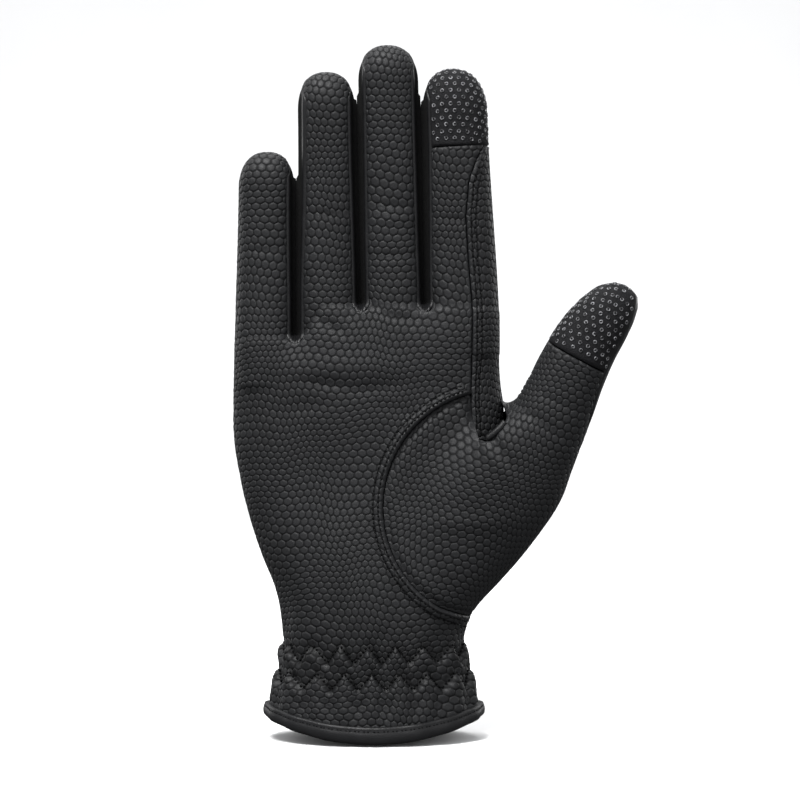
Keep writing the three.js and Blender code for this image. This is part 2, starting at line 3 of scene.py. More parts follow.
import bpy
import numpy as np
from mathutils.kdtree import KDTree
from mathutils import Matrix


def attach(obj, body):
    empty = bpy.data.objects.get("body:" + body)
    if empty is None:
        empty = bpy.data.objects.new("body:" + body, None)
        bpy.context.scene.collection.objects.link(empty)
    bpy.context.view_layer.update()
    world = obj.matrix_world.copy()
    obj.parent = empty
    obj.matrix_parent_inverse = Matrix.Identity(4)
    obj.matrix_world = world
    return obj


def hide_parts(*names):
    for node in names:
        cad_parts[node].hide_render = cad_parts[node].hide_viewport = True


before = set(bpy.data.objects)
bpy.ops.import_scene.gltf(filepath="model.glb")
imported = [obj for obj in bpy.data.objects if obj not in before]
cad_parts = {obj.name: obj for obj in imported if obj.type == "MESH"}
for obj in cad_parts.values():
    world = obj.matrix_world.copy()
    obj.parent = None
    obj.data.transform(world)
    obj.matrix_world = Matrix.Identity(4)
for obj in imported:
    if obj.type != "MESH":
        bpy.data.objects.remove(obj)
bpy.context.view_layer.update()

# Every length below is in millimetres. Meshes are written in metres.
MM = 0.001
HALF_TURN = math.pi
QUARTER = math.pi / 2

# Cuff and palm, from the hem to the line where the fingers part
WRIST_HEIGHT = 35
HEM_RISE = 7
HEM = (72.5 / 2, 50 / 2)
WRIST = (62.5 / 2, 43 / 2)
LITTLE_EDGE = 47.65
INDEX_EDGE = 42.85
KNUCKLE_HEIGHT = 145
KNUCKLE_DEPTH = 14
LITTLE_DROP = 10.7

# at: share of the wrist's height; flare: 0 at the wrist's size, 1 at the hem's
CUFF_ROWS = [
    # at, flare, square
    (0, 1, 2.1), (0.28, 0.84, 2.1), (0.43, 0.6, 2.15), (0.57, 0.4, 2.2),
    (0.72, 0.2, 2.2), (0.87, 0.06, 2.25), (1, 0, 2.3),
]
# at: share of the way from wrist to knuckles; little, index, depth: shares of the growth there
PALM_ROWS = [
    # at, little, index, depth, square
    (0.08, 0.04, 0.27, 0.05, 2.3), (0.17, 0.17, 0.84, 0.16, 2.35), (0.26, 0.4, 1.2, 0.34, 2.4),
    (0.36, 0.61, 1.2, 0.55, 2.45), (0.46, 0.78, 1.14, 0.72, 2.5), (0.56, 0.91, 1.12, 0.84, 2.55),
    (0.65, 1, 1.15, 0.91, 2.6), (0.72, 1.03, 1.12, 0.96, 2.6), (0.77, 1.03, 1.05, 0.99, 2.6),
    (0.82, 1.03, 1.01, 1.01, 2.7), (0.88, 1.02, 1, 1.08, 3), (0.94, 1, 1, 1.2, 3.6),
    (1, 0.98, 0.98, 1.4, 4.4),
]

# Fingers
FINGER_DEPTH = 11
FINGER_ROOT = 14
CURL = 7
CURL_EXPONENT = 1.6
DOME_SHARE = 0.62
DOME_SQUARE = 2.3
FINGER_SQUARE = 2.5
SLOT_MARGIN = 2.1
SLOT_MARGIN_RING = 2.9
SLOT_FOOT = 2.6
FINGERS = [
    # middle, width, reach, lean, taper
    (-37.35, 20.6, 54.8, 0.9, 0.93),
    (-15.55, 21.4, 81.7, -0.7, 0.93),
    (6.55, 21.2, 90.7, -1.9, 0.98),
    (30.4, 24.9, 82.7, -3.5, 0.89),
]
FX, FW, FREACH, FLEAN, FTAPER = (np.array(column, float) for column in zip(*FINGERS))
LITTLE, RING, MIDDLE, INDEX = range(4)
TALLEST = FREACH.max()
SLOTS = (FX[:-1] + FW[:-1] / 2 + FX[1:] - FW[1:] / 2) / 2

# Thumb: places of its root, its lean, and its sections
WEB = (45.25, 109)
THUMB_ROOT = np.array([35.65, -5, 67])
THUMB_LENGTH = 100.5
THUMB_WIDTH = 23
THUMB_DEPTH = 11
THUMB_SPREAD = math.radians(28.1)
THUMB_FORWARD = math.radians(6.5)
THUMB_SQUARE = 2.2
THUMB_PATCH = 71.5
THUMB_ROWS = [
    # along, inner, outer, thick
    (-0.24, -0.5, 0.16, 0.55), (-0.12, -0.85, 0.4, 0.95), (0, -1.05, 0.6, 1.16),
    (0.13, -1.05, 0.74, 1.28), (0.26, -0.95, 0.78, 1.29), (0.37, -0.74, 0.71, 1.22),
    (0.46, -0.52, 0.655, 1.14), (0.56, -0.49, 0.6, 1.07), (0.66, -0.5, 0.53, 1.02),
    (0.76, -0.49, 0.49, 0.98), (0.85, -0.42, 0.485, 0.9), (0.92, -0.31, 0.455, 0.77),
    (0.965, -0.18, 0.39, 0.58), (0.99, -0.03, 0.28, 0.34), (1, 0.09, 0.13, 0.05),
]
# How far from the axis the outer edge's turn begins, and how long its quarter turn is
THUMB_PIVOT = 4
THUMB_TURNS = [
    # along, outer, inner: radius of the turn
    (-25, 14.5, 12), (0, 14, 12), (30, 13.5, 11), (56, 10.8, 9.5), (80, 9.5, 8.5), (100, 8, 7),
]
# From here on the thumb's pattern leans over its tip
THUMB_TOP = THUMB_LENGTH - 13
# along, out: the seam between the thumb's palm side and its back, as shares of its length and width
THUMB_SIDE_SEAM = [(0.47, 0.75), (0.53, 0.575), (0.62, 0.465), (0.7, 0.415), (0.85, 0.37), (1.2, 0.35)]
# How far round the thumb its pieces reach: from the palm side for the panel and the textile tip,
# from the back for the smooth back
PANEL_OUTER, PANEL_INNER = 0.76, 1.66
TIP_OUTER, TIP_INNER = 0.79, 1.6
REAR_OUTER, REAR_INNER = 2.37, 1.56

# Round seams of the set-in thumb, on the palm and on the back
PALM_ARC = (42.35, 79, 39)
BACK_ARC = (60.25, 81.86, 31)

# Index finger's side panel and textile tip
PATCH_FOOT = 201.7
PANEL_FOOT = 100.7
PANEL_WIDTH = 9.4
PANEL_EDGE = [
    (0, 0.86), (0.13, 1), (0.48, 0.98), (0.62, 1.05), (0.76, 1.07), (0.88, 0.9), (0.96, 0.55), (1, 0.2),
]

LEATHER = 1.3
SEAM = 0.25


# Runs from 0 at start to 1 at end, also where end is the lower of the two.
def smoothstep(start, end, value):
    share = np.clip((value - start) / (end - start), 0, 1)
    return share * share * (3 - 2 * share)


def lerp(a, b, share):
    return a + (b - a) * share


def bump(value, width):
    return np.exp(-((value / width) ** 2))


# A smooth curve through a table's rows.
def curve(places, values, at):
    places, values = np.asarray(places, float), np.asarray(values, float)
    slopes = np.gradient(values, places)
    at = np.clip(at, places[0], places[-1])
    k = np.clip(np.searchsorted(places, at) - 1, 0, len(places) - 2)
    span = places[k + 1] - places[k]
    t = (at - places[k]) / span
    rise = values[k] * (1 - t * t * (3 - 2 * t)) + values[k + 1] * t * t * (3 - 2 * t)
    return rise + span * t * (1 - t) * (slopes[k] * (1 - t) - slopes[k + 1] * t)


def section_table():
    rows = []
    for at, flare, square in CUFF_ROWS:
        wide, deep = (lerp(small, big, flare) for small, big in zip(WRIST, HEM))
        rows.append((at * WRIST_HEIGHT, wide, wide, deep, square))
    for at, little, index, depth, square in PALM_ROWS:
        rows.append((
            lerp(WRIST_HEIGHT, KNUCKLE_HEIGHT, at),
            lerp(WRIST[0], LITTLE_EDGE, little),
            lerp(WRIST[0], INDEX_EDGE, index),
            lerp(WRIST[1], KNUCKLE_DEPTH, depth),
            square,
        ))
    return [np.array(column, float) for column in zip(*rows)]


SEC_U, SEC_LEFT, SEC_RIGHT, SEC_DEEP, SEC_SQUARE = section_table()


def crotch(x):
    share = smoothstep(FX[RING], SLOTS[0], x)
    return KNUCKLE_HEIGHT - LITTLE_DROP * share


def curl(z):
    return -CURL * (np.maximum(0, z - KNUCKLE_HEIGHT) / TALLEST) ** CURL_EXPONENT


# Height above the hem, evened out so that the hem's rise and the fingers' line lie level.
def level(x, z):
    wide = curve(SEC_U, SEC_LEFT, np.clip(z, 0, WRIST_HEIGHT))
    rise = HEM_RISE * np.clip(x / wide, -1, 1) ** 2
    low = (z - rise) / (1 - rise / WRIST_HEIGHT)
    span = KNUCKLE_HEIGHT - WRIST_HEIGHT
    high = WRIST_HEIGHT + (z - WRIST_HEIGHT) * span / (crotch(x) - WRIST_HEIGHT)
    return np.where(z < WRIST_HEIGHT, low, high)


def left_edge(z):
    return -curve(SEC_U, SEC_LEFT, z)


def right_edge(z):
    return curve(SEC_U, SEC_RIGHT, z)


def palm_field(p):
    x, y, z = p.T
    u = level(x, z)
    wide = np.where(x < 0, curve(SEC_U, SEC_LEFT, u), curve(SEC_U, SEC_RIGHT, u))
    deep = curve(SEC_U, SEC_DEEP, u)
    square = curve(SEC_U, SEC_SQUARE, u)
    far = (np.abs(x / wide) ** square + np.abs(y / deep) ** square) ** (1 / square)
    return (far - 1) * deep + np.maximum(0, z - crotch(x)) ** 2 / 2


def finger_bottom(i):
    return crotch(FX[i])


def finger_length(i):
    return KNUCKLE_HEIGHT + FREACH[i] - finger_bottom(i)


def finger_middle(i, z):
    return FX[i] + FLEAN[i] * np.maximum(0, (z - finger_bottom(i)) / finger_length(i))


def finger_half(i, z):
    at = np.clip((z - finger_bottom(i)) / finger_length(i), 0, 1)
    return FW[i] / 2 * (1 - (1 - FTAPER[i]) * smoothstep(0, 0.8, at))


def finger_deep(i, z):
    at = (z - finger_bottom(i)) / finger_length(i)
    shares = curve([-0.2, 0.02, 0.18, 0.45, 0.8, 1.1], [0.92, 0.98, 0.93, 0.86, 0.79, 0.78], at)
    return FINGER_DEPTH * shares


# Height of the middle of a finger's round tip.
def finger_top(i):
    return finger_bottom(i) + finger_length(i) - FW[i] / 2


# How far the leather of a finger's front and back stays from its side, past which the strip shows.
def margin(i, sign, z):
    wide = SLOT_MARGIN_RING if (i, sign) == (1, -1) else SLOT_MARGIN
    return lerp(SLOT_MARGIN, wide, smoothstep(10, 40, z - finger_bottom(i)))


def dome_height(i):
    return FW[i] * DOME_SHARE


def finger_field(p, i):
    x, y, z = p.T
    wide, deep = finger_half(i, z), finger_deep(i, z)
    flat = np.abs((x - finger_middle(i, z)) / wide) ** FINGER_SQUARE
    flat = (flat + np.abs((y - curl(z)) / deep) ** FINGER_SQUARE) ** (1 / FINGER_SQUARE)
    start = finger_bottom(i) + finger_length(i) - dome_height(i)
    up = np.maximum(0, z - start) / dome_height(i)
    far = (flat**DOME_SQUARE + up**DOME_SQUARE) ** (1 / DOME_SQUARE)
    return (far - 1) * deep + np.maximum(0, finger_bottom(i) - FINGER_ROOT - z)


# Turning into and out of the thumb's own frame: its axis is the local Z, its outer edge local +X.
def thumb_axes():
    c, s = math.cos(THUMB_SPREAD), math.sin(THUMB_SPREAD)
    cf, sf = math.cos(THUMB_FORWARD), math.sin(THUMB_FORWARD)
    spread = np.array([[c, 0, s], [0, 1, 0], [-s, 0, c]])
    forward = np.array([[1, 0, 0], [0, cf, -sf], [0, sf, cf]])
    return spread @ forward


THUMB_AXES = thumb_axes()


def to_thumb(p):
    return (p - THUMB_ROOT) @ THUMB_AXES


def from_thumb(p):
    return p @ THUMB_AXES.T + THUMB_ROOT


T_ALONG, T_INNER, T_OUTER, T_THICK = (np.array(column, float) for column in zip(*THUMB_ROWS))


def thumb_field(p):
    x, y, z = to_thumb(p).T
    at = z / THUMB_LENGTH
    inner, outer = (curve(T_ALONG, side, at) * THUMB_WIDTH for side in (T_INNER, T_OUTER))
    thick = curve(T_ALONG, T_THICK, at) * THUMB_DEPTH
    reach = np.maximum((outer - inner) / 2, 0.3)
    thick = np.maximum(thick, 0.3)
    far = np.abs((x - (outer + inner) / 2) / reach) ** THUMB_SQUARE
    far = (far + np.abs(y / thick) ** THUMB_SQUARE) ** (1 / THUMB_SQUARE)
    below = np.maximum(0, T_ALONG[0] * THUMB_LENGTH - z)
    return (far - 1) * np.minimum(reach, thick) + np.maximum(0, z - THUMB_LENGTH) * 3 + below


def join(a, b, round_off):
    share = np.clip(0.5 + 0.5 * (b - a) / round_off, 0, 1)
    return lerp(b, a, share) - round_off * share * (1 - share)


# Front and back of the hand run softly into the fingers, its edges run straight on.
FINGER_BLEND = (3, 0.5)
THUMB_BLEND = 6


def hand_field(p, finger):
    aside = np.abs(p[:, 0] - FX[finger]) / (FW[finger] / 2)
    blend = lerp(*FINGER_BLEND, smoothstep(0.5, 0.9, aside))
    return join(palm_field(p), finger_field(p, finger), blend)


# The leather's outer face is where this is zero. Each point looks at one finger only.
def body_field(p, finger):
    return join(hand_field(p, finger), thumb_field(p), THUMB_BLEND)


# Where rays from inside meet the outer face, and the face's normals there.
def meet(origin, direction, finger, field):
    low, high = np.zeros(len(origin)), np.full(len(origin), 45.0)
    for _ in range(20):
        half = (low + high) / 2
        inside = field(origin + direction * half[:, None], finger) < 0
        low, high = np.where(inside, half, low), np.where(inside, high, half)
    point = origin + direction * ((low + high) / 2)[:, None]
    step = 0.2
    here = field(point, finger)
    slope = [field(point + step * np.eye(3)[axis], finger) - here for axis in range(3)]
    normal = np.stack(slope, axis=1)
    normal /= np.linalg.norm(normal, axis=1)[:, None] + 1e-12
    return point, normal


FINGER_PIVOT = 5.2
FINGER_TURN = 7.7
PALM_PIVOT = 12
PALM_TURN = 13.5


def edge_pivot(z):
    return lerp(PALM_PIVOT, FINGER_PIVOT, smoothstep(112, 146, z))


def edge_turn(z):
    return lerp(PALM_TURN, FINGER_TURN, smoothstep(112, 146, z))


# The line between two fingers in the flat pattern. Past the shorter finger's tip it gives way to
# the longer one.
def slot_line(i, z):
    left = finger_middle(i, z) + finger_half(i, z)
    right = finger_middle(i + 1, z) - finger_half(i + 1, z)
    tip = KNUCKLE_HEIGHT + min(FREACH[i], FREACH[i + 1])
    away = 4.5 if FREACH[i] > FREACH[i + 1] else -4.5
    return (left + right) / 2 + away * smoothstep(tip + 8, tip + 14, z)


# Pattern of the hand: flat coordinates (x, z) on the glove's front or back. Past the outer edges
# and the fingertips the pattern goes on round the side. side is -1 for the palm and 1 for the back.
def hand_rays(flat, side):
    x, z = flat.T
    finger = sum((x > slot_line(i, z)).astype(int) for i in range(3))
    # the palm's own rays, turning at its left and right edges
    left, right = left_edge(z) + edge_pivot(z), right_edge(z) - edge_pivot(z)
    over = np.minimum(0, x - left) + np.maximum(0, x - right)
    angle = over / edge_turn(z)
    palm_x = np.clip(x, left, right)
    # the finger's rays, turning at its sides and over its tip
    top = finger_top(finger)
    dx = x - finger_middle(finger, z)
    dz = np.maximum(0, z - top)
    far = np.hypot(dx, dz) + 1e-9
    turn = np.maximum(0, far - FINGER_PIVOT) / FINGER_TURN
    keep = np.minimum(1, FINGER_PIVOT / far)
    share = smoothstep(crotch(x) - 0.5, crotch(x) + 9, z)
    sin, cos = np.sin(turn), np.cos(turn)
    height = z - dz * (1 - keep)
    finger_origin = np.stack([x - dx * (1 - keep), curl(height), height], axis=1)
    finger_way = np.stack([sin * dx / far, side * cos, sin * dz / far], axis=1)
    palm_origin = np.stack([palm_x, np.zeros_like(x), z], axis=1)
    palm_way = np.stack([np.sin(angle), side * np.cos(angle), np.zeros_like(x)], axis=1)
    origin = lerp(palm_origin, finger_origin, share[:, None])
    way = lerp(palm_way, finger_way, share[:, None])
    way /= np.linalg.norm(way, axis=1)[:, None]
    return origin, way, finger


def hand_front(flat):
    return (*hand_rays(flat, -1), body_field)


def hand_back(flat):
    return (*hand_rays(flat, 1), body_field)


# Pattern of the side panel: front coordinates that run on round the index finger to its back.
def side_rays(flat):
    x, z = flat.T
    right = np.where(z < KNUCKLE_HEIGHT, right_edge(z), finger_middle(INDEX, z) + finger_half(INDEX, z))
    pivot = right - edge_pivot(z)
    turn = edge_turn(z)
    angle = np.clip((x - pivot) / turn, 0, HALF_TURN)
    past = np.maximum(0, x - pivot - HALF_TURN * turn)
    origin = np.stack([np.minimum(x, pivot) - past, curl(z), z], axis=1)
    way = np.stack([np.sin(angle), -np.cos(angle), np.zeros_like(x)], axis=1)
    return origin, way, np.full(len(x), INDEX), hand_field


# Radii of the turns round the thumb, on its outer and its inner side.
def thumb_turns(along):
    heights, outer, inner = np.array(THUMB_TURNS).T
    return curve(heights, outer, along), curve(heights, inner, along)


# How far out a piece reaches in the thumb's pattern that goes round by an angle.
def thumb_outer(angle, along):
    return THUMB_PIVOT + angle * thumb_turns(along)[0]


def thumb_inner(angle, along):
    return -THUMB_PIVOT - angle * thumb_turns(along)[1]


# Pattern of the thumb in its own frame. side is -1 for the palm side and 1 for the back.
def thumb_rays(flat, side):
    off, along = flat.T
    outer, inner = thumb_turns(along)
    angle = np.maximum(0, off - THUMB_PIVOT) / outer
    above = smoothstep(42.5, 46, along)
    inward = smoothstep(36, 45, along) * (1 - smoothstep(14.5, 19, -off) * (1 - above))
    over = np.minimum(0, off + THUMB_PIVOT)
    angle = angle + inward * over / inner
    base = np.minimum(off, THUMB_PIVOT) - inward * over
    # over the tip the rays also lean along the thumb
    rise = np.maximum(0, along - THUMB_TOP)
    lean = rise / 9
    base = base * lerp(1, 0.3, smoothstep(0, 14, rise)) + 2.2 * smoothstep(0, 14, rise)
    origin = np.stack([base, np.zeros_like(off), np.minimum(along, THUMB_TOP)], axis=1)
    way = np.stack(
        [np.sin(angle) * np.cos(lean), side * np.cos(angle) * np.cos(lean), np.sin(lean)], axis=1
    )
    return from_thumb(origin), way @ THUMB_AXES.T, np.full(len(off), INDEX), body_field


def thumb_front(flat):
    return thumb_rays(flat, -1)


def thumb_behind(flat):
    return thumb_rays(flat, 1)


# Seam edges. lift: how far the leather stands up near the edge; rolled: how far the edge turns
# down; plain: how wide the rim without emboss is
EDGES = {
    # tag: lift, its width, rolled, its width, plain
    "seam": (0.25, 1.1, 0.8, 0.7, 0.35),
    "over": (0.95, 4.5, 1.0, 0.8, 1.35),
    "under": (-0.9, 2.6, 0.2, 0.5, 0.25),
    "sewn": (0.15, 2.2, 0.6, 0.7, 0.5),
    "hem": (0, 1, 0, 1, 0.5),
}
TAGS = list(EDGES)
EDGE_TABLE = np.array([EDGES[tag] for tag in TAGS])

CELL_PITCH = 2.58
CELL_ROW = 2.18
CELL_JITTER = 0.1
RING_INNER = 0.52
RING_OUTER = 0.86
CELL_HEIGHTS = {"middle": 0.02, "inner": 0.05, "outer": 0.0, "groove": -0.4}


# The emboss is stretched a little here and there, and more along the fingers.
def stretched(c):
    x, z = c[..., 0], c[..., 1]
    dx = 1.3 * np.sin(0.16 * x + 0.06 * z + 1) + 0.7 * np.sin(0.23 * z - 0.05 * x)
    dz = 1.1 * np.sin(0.14 * z - 0.09 * x) + 0.5 * np.sin(0.31 * x + 2)
    return np.stack([x + dx, z + dz + 0.12 * np.maximum(0, z - 140)], axis=-1)


# An outline is a closed loop of (x, z, tag): the tag says what the edge after each point is like.
class Outline:
    def __init__(self, corners, step=1.0):
        after = corners[1:] + corners[:1]
        corners = [a for a, b in zip(corners, after) if math.dist(a[:2], b[:2]) > 0.01]
        points, tags = [], []
        for (x0, z0, tag), (x1, z1, _) in zip(corners, corners[1:] + corners[:1]):
            count = max(1, math.ceil(math.hypot(x1 - x0, z1 - z0) / step))
            for k in range(count):
                points.append((lerp(x0, x1, k / count), lerp(z0, z1, k / count)))
                tags.append(TAGS.index(tag))
        self.points, self.tags = np.array(points), np.array(tags)
        self.ends = np.roll(self.points, -1, axis=0)
        x, z = self.points.T
        self.clockwise = np.sum(x * self.ends[:, 1] - self.ends[:, 0] * z) < 0
        self.tree = KDTree(len(points))
        for k, (x, z) in enumerate(points):
            self.tree.insert((x, z, 0), k)
        self.tree.balance()

    # Signed distance to the outline, positive inside, with the nearest point and the edge's tag.
    def measure(self, flat):
        count = len(self.points)
        nearest = np.array([self.tree.find((x, z, 0))[1] for x, z in flat.tolist()])
        along = self.ends - self.points
        inward = np.stack([-along[:, 1], along[:, 0]], axis=1) * (-1 if self.clockwise else 1)
        inward /= np.linalg.norm(along, axis=1)[:, None]
        best = np.full(len(flat), np.inf)
        near, facing = np.empty_like(flat), np.empty_like(flat)
        tag = np.empty(len(flat), int)
        for shift in (-2, -1, 0, 1):
            k = (nearest + shift) % count
            share = ((flat - self.points[k]) * along[k]).sum(1) / (along[k] ** 2).sum(1)
            close = self.points[k] + np.clip(share, 0, 1)[:, None] * along[k]
            gap = np.linalg.norm(flat - close, axis=1)
            normal = inward[k].copy()
            normal[share <= 0] += inward[(k - 1) % count][share <= 0]
            normal[share >= 1] += inward[(k + 1) % count][share >= 1]
            better = gap < best - 1e-9
            best[better], near[better], facing[better] = gap[better], close[better], normal[better]
            tag[better] = self.tags[k][better]
        inside = ((flat - near) * facing).sum(1) > 0
        return np.where(inside, best, -best), near, tag


# Six-sided cells in rows: flat points, their place in the cell (0 middle to 1 groove), and faces.
def cells(outline, seed, turn=0.0, arch=0.0):
    rng = np.random.default_rng(seed)
    low, high = outline.points.min(0), outline.points.max(0)
    middle = (low + high) / 2
    spans = np.full(2, np.hypot(*(high - low)) / 2) if turn else (high - low) / 2
    rows = np.arange(-int(spans[1] / CELL_ROW) - 3, int(spans[1] / CELL_ROW) + 4)
    columns = np.arange(-int(spans[0] / CELL_PITCH) - 3, int(spans[0] / CELL_PITCH) + 4)
    odd = (rows % 2 == 1)[:, None]
    x = (columns[None, :] + 0.5 * odd) * CELL_PITCH
    z = np.broadcast_to(rows[:, None] * CELL_ROW, x.shape) - arch * x**2
    c = np.stack([x, z], axis=-1)
    c = c + rng.uniform(-1, 1, c.shape) * CELL_JITTER * CELL_PITCH
    spin = np.array([[math.cos(turn), math.sin(turn)], [-math.sin(turn), math.cos(turn)]])
    c = stretched(c @ spin + middle)
    odd = odd[:, :, None]
    east, above = np.roll(c, -1, 1), np.roll(c, -1, 0)
    north_east = np.where(odd, np.roll(above, -1, 1), above)
    north_west = np.where(odd, above, np.roll(above, 1, 1))
    up, down = (c + east + north_east) / 3, (c + north_east + north_west) / 3
    count = c.shape[0] * c.shape[1]
    grid = np.arange(count).reshape(c.shape[:2])
    is_odd = odd[:, :, 0]
    below = np.roll(grid, 1, 0)
    south_west = np.where(is_odd, below, np.roll(below, 1, 1))
    south_east = np.where(is_odd, np.roll(below, -1, 1), below)
    west = np.roll(grid, 1, 1)
    corner = np.stack([
        count + grid, 2 * count + grid, count + west, 2 * count + south_west,
        count + south_west, 2 * count + south_east,
    ], axis=-1)[2:-2, 2:-2].reshape(-1, 6)
    grid = grid[2:-2, 2:-2].reshape(-1)
    base = np.concatenate([c.reshape(-1, 2), up.reshape(-1, 2), down.reshape(-1, 2)])
    spokes = base[corner] - base[grid][:, None]
    inner = (base[grid][:, None] + RING_INNER * spokes).reshape(-1, 2)
    outer = (base[grid][:, None] + RING_OUTER * spokes).reshape(-1, 2)
    flat = np.concatenate([base, inner, outer])
    part = np.repeat([0, 1, 1, 2, 3], [count, count, count, len(inner), len(outer)])
    heights = np.array([CELL_HEIGHTS[name] for name in ("middle", "groove", "inner", "outer")])
    ring_a = 3 * count + np.arange(len(inner)).reshape(-1, 6)
    ring_b = 3 * count + len(inner) + np.arange(len(outer)).reshape(-1, 6)
    after = lambda ring: np.roll(ring, -1, 1)
    middle_of = np.repeat(grid[:, None], 6, 1)
    fans = np.stack([middle_of, ring_a, after(ring_a)], -1).reshape(-1, 3)
    bands = [
        np.stack([a, b, after(b), after(a)], -1).reshape(-1, 4)
        for a, b in ((ring_a, ring_b), (ring_b, corner))
    ]
    groove = np.array([0, 1, 0.15, 0.45])[part]
    return flat, heights[part], groove, fans, np.concatenate(bands)


# The faces of a grid of points, row by row.
def grid_quads(rows, columns):
    grid = np.arange(rows * columns).reshape(rows, columns)
    return np.stack([grid[:-1, :-1], grid[:-1, 1:], grid[1:, 1:], grid[1:, :-1]], -1).reshape(-1, 4)


# The faces of a tube: rings of points from end to end, with both ends capped.
def tube_faces(rings, sides, first=0):
    faces = []
    for ring in range(rings - 1):
        for k in range(sides):
            a, b = first + ring * sides + k, first + ring * sides + (k + 1) % sides
            faces.append([a, b, b + sides, a + sides])
    faces.append([first + k for k in reversed(range(sides))])
    faces.append([first + (rings - 1) * sides + k for k in range(sides)])
    return faces


# A plain fine grid of squares, for smooth leather and textile.
def squares(outline, step):
    low, high = outline.points.min(0), outline.points.max(0)
    columns = np.arange(low[0] - step, high[0] + 2 * step, step)
    rows = np.arange(low[1] - step, high[1] + 2 * step, step)
    x, z = np.meshgrid(columns, rows)
    flat = np.stack([x.ravel(), z.ravel()], axis=1)
    return flat, np.zeros(len(flat)), np.zeros(len(flat)), np.empty((0, 3), int), grid_quads(*x.shape)


def new_object(name, mesh, material):
    piece = bpy.data.objects.new(name, mesh)
    bpy.context.scene.collection.objects.link(piece)
    mesh.materials.append(material)
    for polygon in mesh.polygons:
        polygon.use_smooth = True
    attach(piece, "root")
    return piece


def make_mesh(name, points, faces, values=None):
    mesh = bpy.data.meshes.new(name)
    mesh.from_pydata((points * MM).tolist(), [], faces)
    for key, data in (values or {}).items():
        mesh.attributes.new(key, "FLOAT", "POINT").data.foreach_set("value", data.astype(np.float32))
    mesh.validate()
    mesh.update()
    return mesh


# A pattern cut to an outline: points just outside it move onto it, and the rest is left out.
def clamped(outline, flat, kinds, least):
    far, near, tag = outline.measure(flat)
    inside = far > least
    flat = np.where(inside[:, None], flat, near)
    kinds = [faces[inside[faces].any(1)] for faces in kinds]
    used = np.zeros(len(flat), bool)
    for faces in kinds:
        used[faces.ravel()] = True
    number = np.cumsum(used) - 1
    return flat[used], np.where(inside, far, 0)[used], tag[used], used, *(number[faces] for faces in kinds)


# Edges with two rows of stitches along them
SEWN = ("over", "sewn")


# The outer face at some flat points, with its normals, how far its relief stands out there, and
# how calm the emboss is beside an edge.
def surface(rays, relief, spots, depths, tags):
    origin, way, finger, field = rays(spots)
    point, normal = meet(origin, way, finger, field)
    lift, lift_width, rolled, rolled_width, plain = EDGE_TABLE[tags].T
    height = lift * (1 - smoothstep(0.35 * lift_width, lift_width, depths))
    height -= rolled * np.maximum(0, 1 - depths / rolled_width) ** 2
    height = height + relief(spots, depths, tags, point)
    calm = smoothstep(plain, plain + 0.8, depths)
    return point, normal, height, calm


# Faces with an overlong side lie across a gap and are left out.
def short(points, faces, longest=5.0):
    corners = points[faces]
    sides = np.linalg.norm(corners - np.roll(corners, -1, axis=1), axis=2)
    return faces[sides.max(1) < longest]


# Pattern points nearer to the outline than this move onto it: the outer face's and the inner one's.
OUTER_LEAST, INNER_LEAST = 0.12, 0.3
# Sides of the squares: on the inner faces, and on plain leather and textile
INNER_STEP, FINE_STEP = 1.6, 0.8
# Width of the painted shade along a zigzag line, where the leather pinches
PINCH_SHADE_WIDTH = 1.25


# One piece of leather: its outer face with relief, its rim round the outline and its inner face.
def panel(
    name, rays, outline, pattern, relief, material, nodes, mirrored=False, lines=None
):
    flat, cell, groove, triangles, quads = pattern
    flat, depth, tag, used, triangles, quads = clamped(outline, flat, [triangles, quads], OUTER_LEAST)
    cell, groove = cell[used], groove[used]

    def placed(spots, depths, tags, cell_height, offset=0.0):
        point, normal, height, calm = surface(rays, relief, spots, depths, tags)
        return point + normal * (height + cell_height * calm + offset)[:, None], calm

    outer, calm = placed(flat, depth, tag, cell)
    faces = short(outer, triangles).tolist() + short(outer, quads).tolist()
    groove = groove * calm
    zero = np.zeros(len(outline.points))
    rims = [
        placed(outline.points, zero, outline.tags, zero, -LEATHER * share)[0]
        for share in (0, 0.5, 1)
    ]
    start, count = len(outer), len(outline.points)
    ring = np.arange(count)
    after = np.roll(ring, -1)
    bands = []
    for row in range(2):
        a, b = start + row * count + ring, start + row * count + after
        band = [a, b, b + count, a + count] if outline.clockwise else [b, a, a + count, b + count]
        bands.append(np.stack(band, axis=1))
    grid, _, _, _, grid_faces = squares(outline, INNER_STEP)
    grid, grid_depth, grid_tag, _, grid_faces = clamped(outline, grid, [grid_faces], INNER_LEAST)
    inner, _ = placed(grid, grid_depth, grid_tag, np.zeros(len(grid)), -LEATHER)
    faces += (short(inner, grid_faces)[:, ::-1] + start + 3 * count).tolist()
    points = np.concatenate([outer, *rims, inner])
    faces += short(points, np.concatenate(bands)).tolist()
    if mirrored:
        faces = [face[::-1] for face in faces]
    rest = np.zeros(len(points) - len(outer))
    sewn = np.where(np.isin(tag, [TAGS.index(name) for name in SEWN]), depth, 9)
    # a mask of painted shade along the given stitch lines
    pinch_painted_shade = np.zeros(len(outer)) if lines is None else bump(lines(outer), PINCH_SHADE_WIDTH)
    # the groove and pinch masks become painted shade in the leather's material, the sewn one its painted
    # dark stitch rows
    values = {
        "groove": np.concatenate([groove, rest]),
        "sewn": np.concatenate([sewn, rest + 9]),
        "pinch_painted_shade": np.concatenate([pinch_painted_shade, rest]),
    }
    mesh = make_mesh(name, points, faces, values)
    piece = new_object(name, mesh, material)
    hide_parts(*nodes)
    return piece


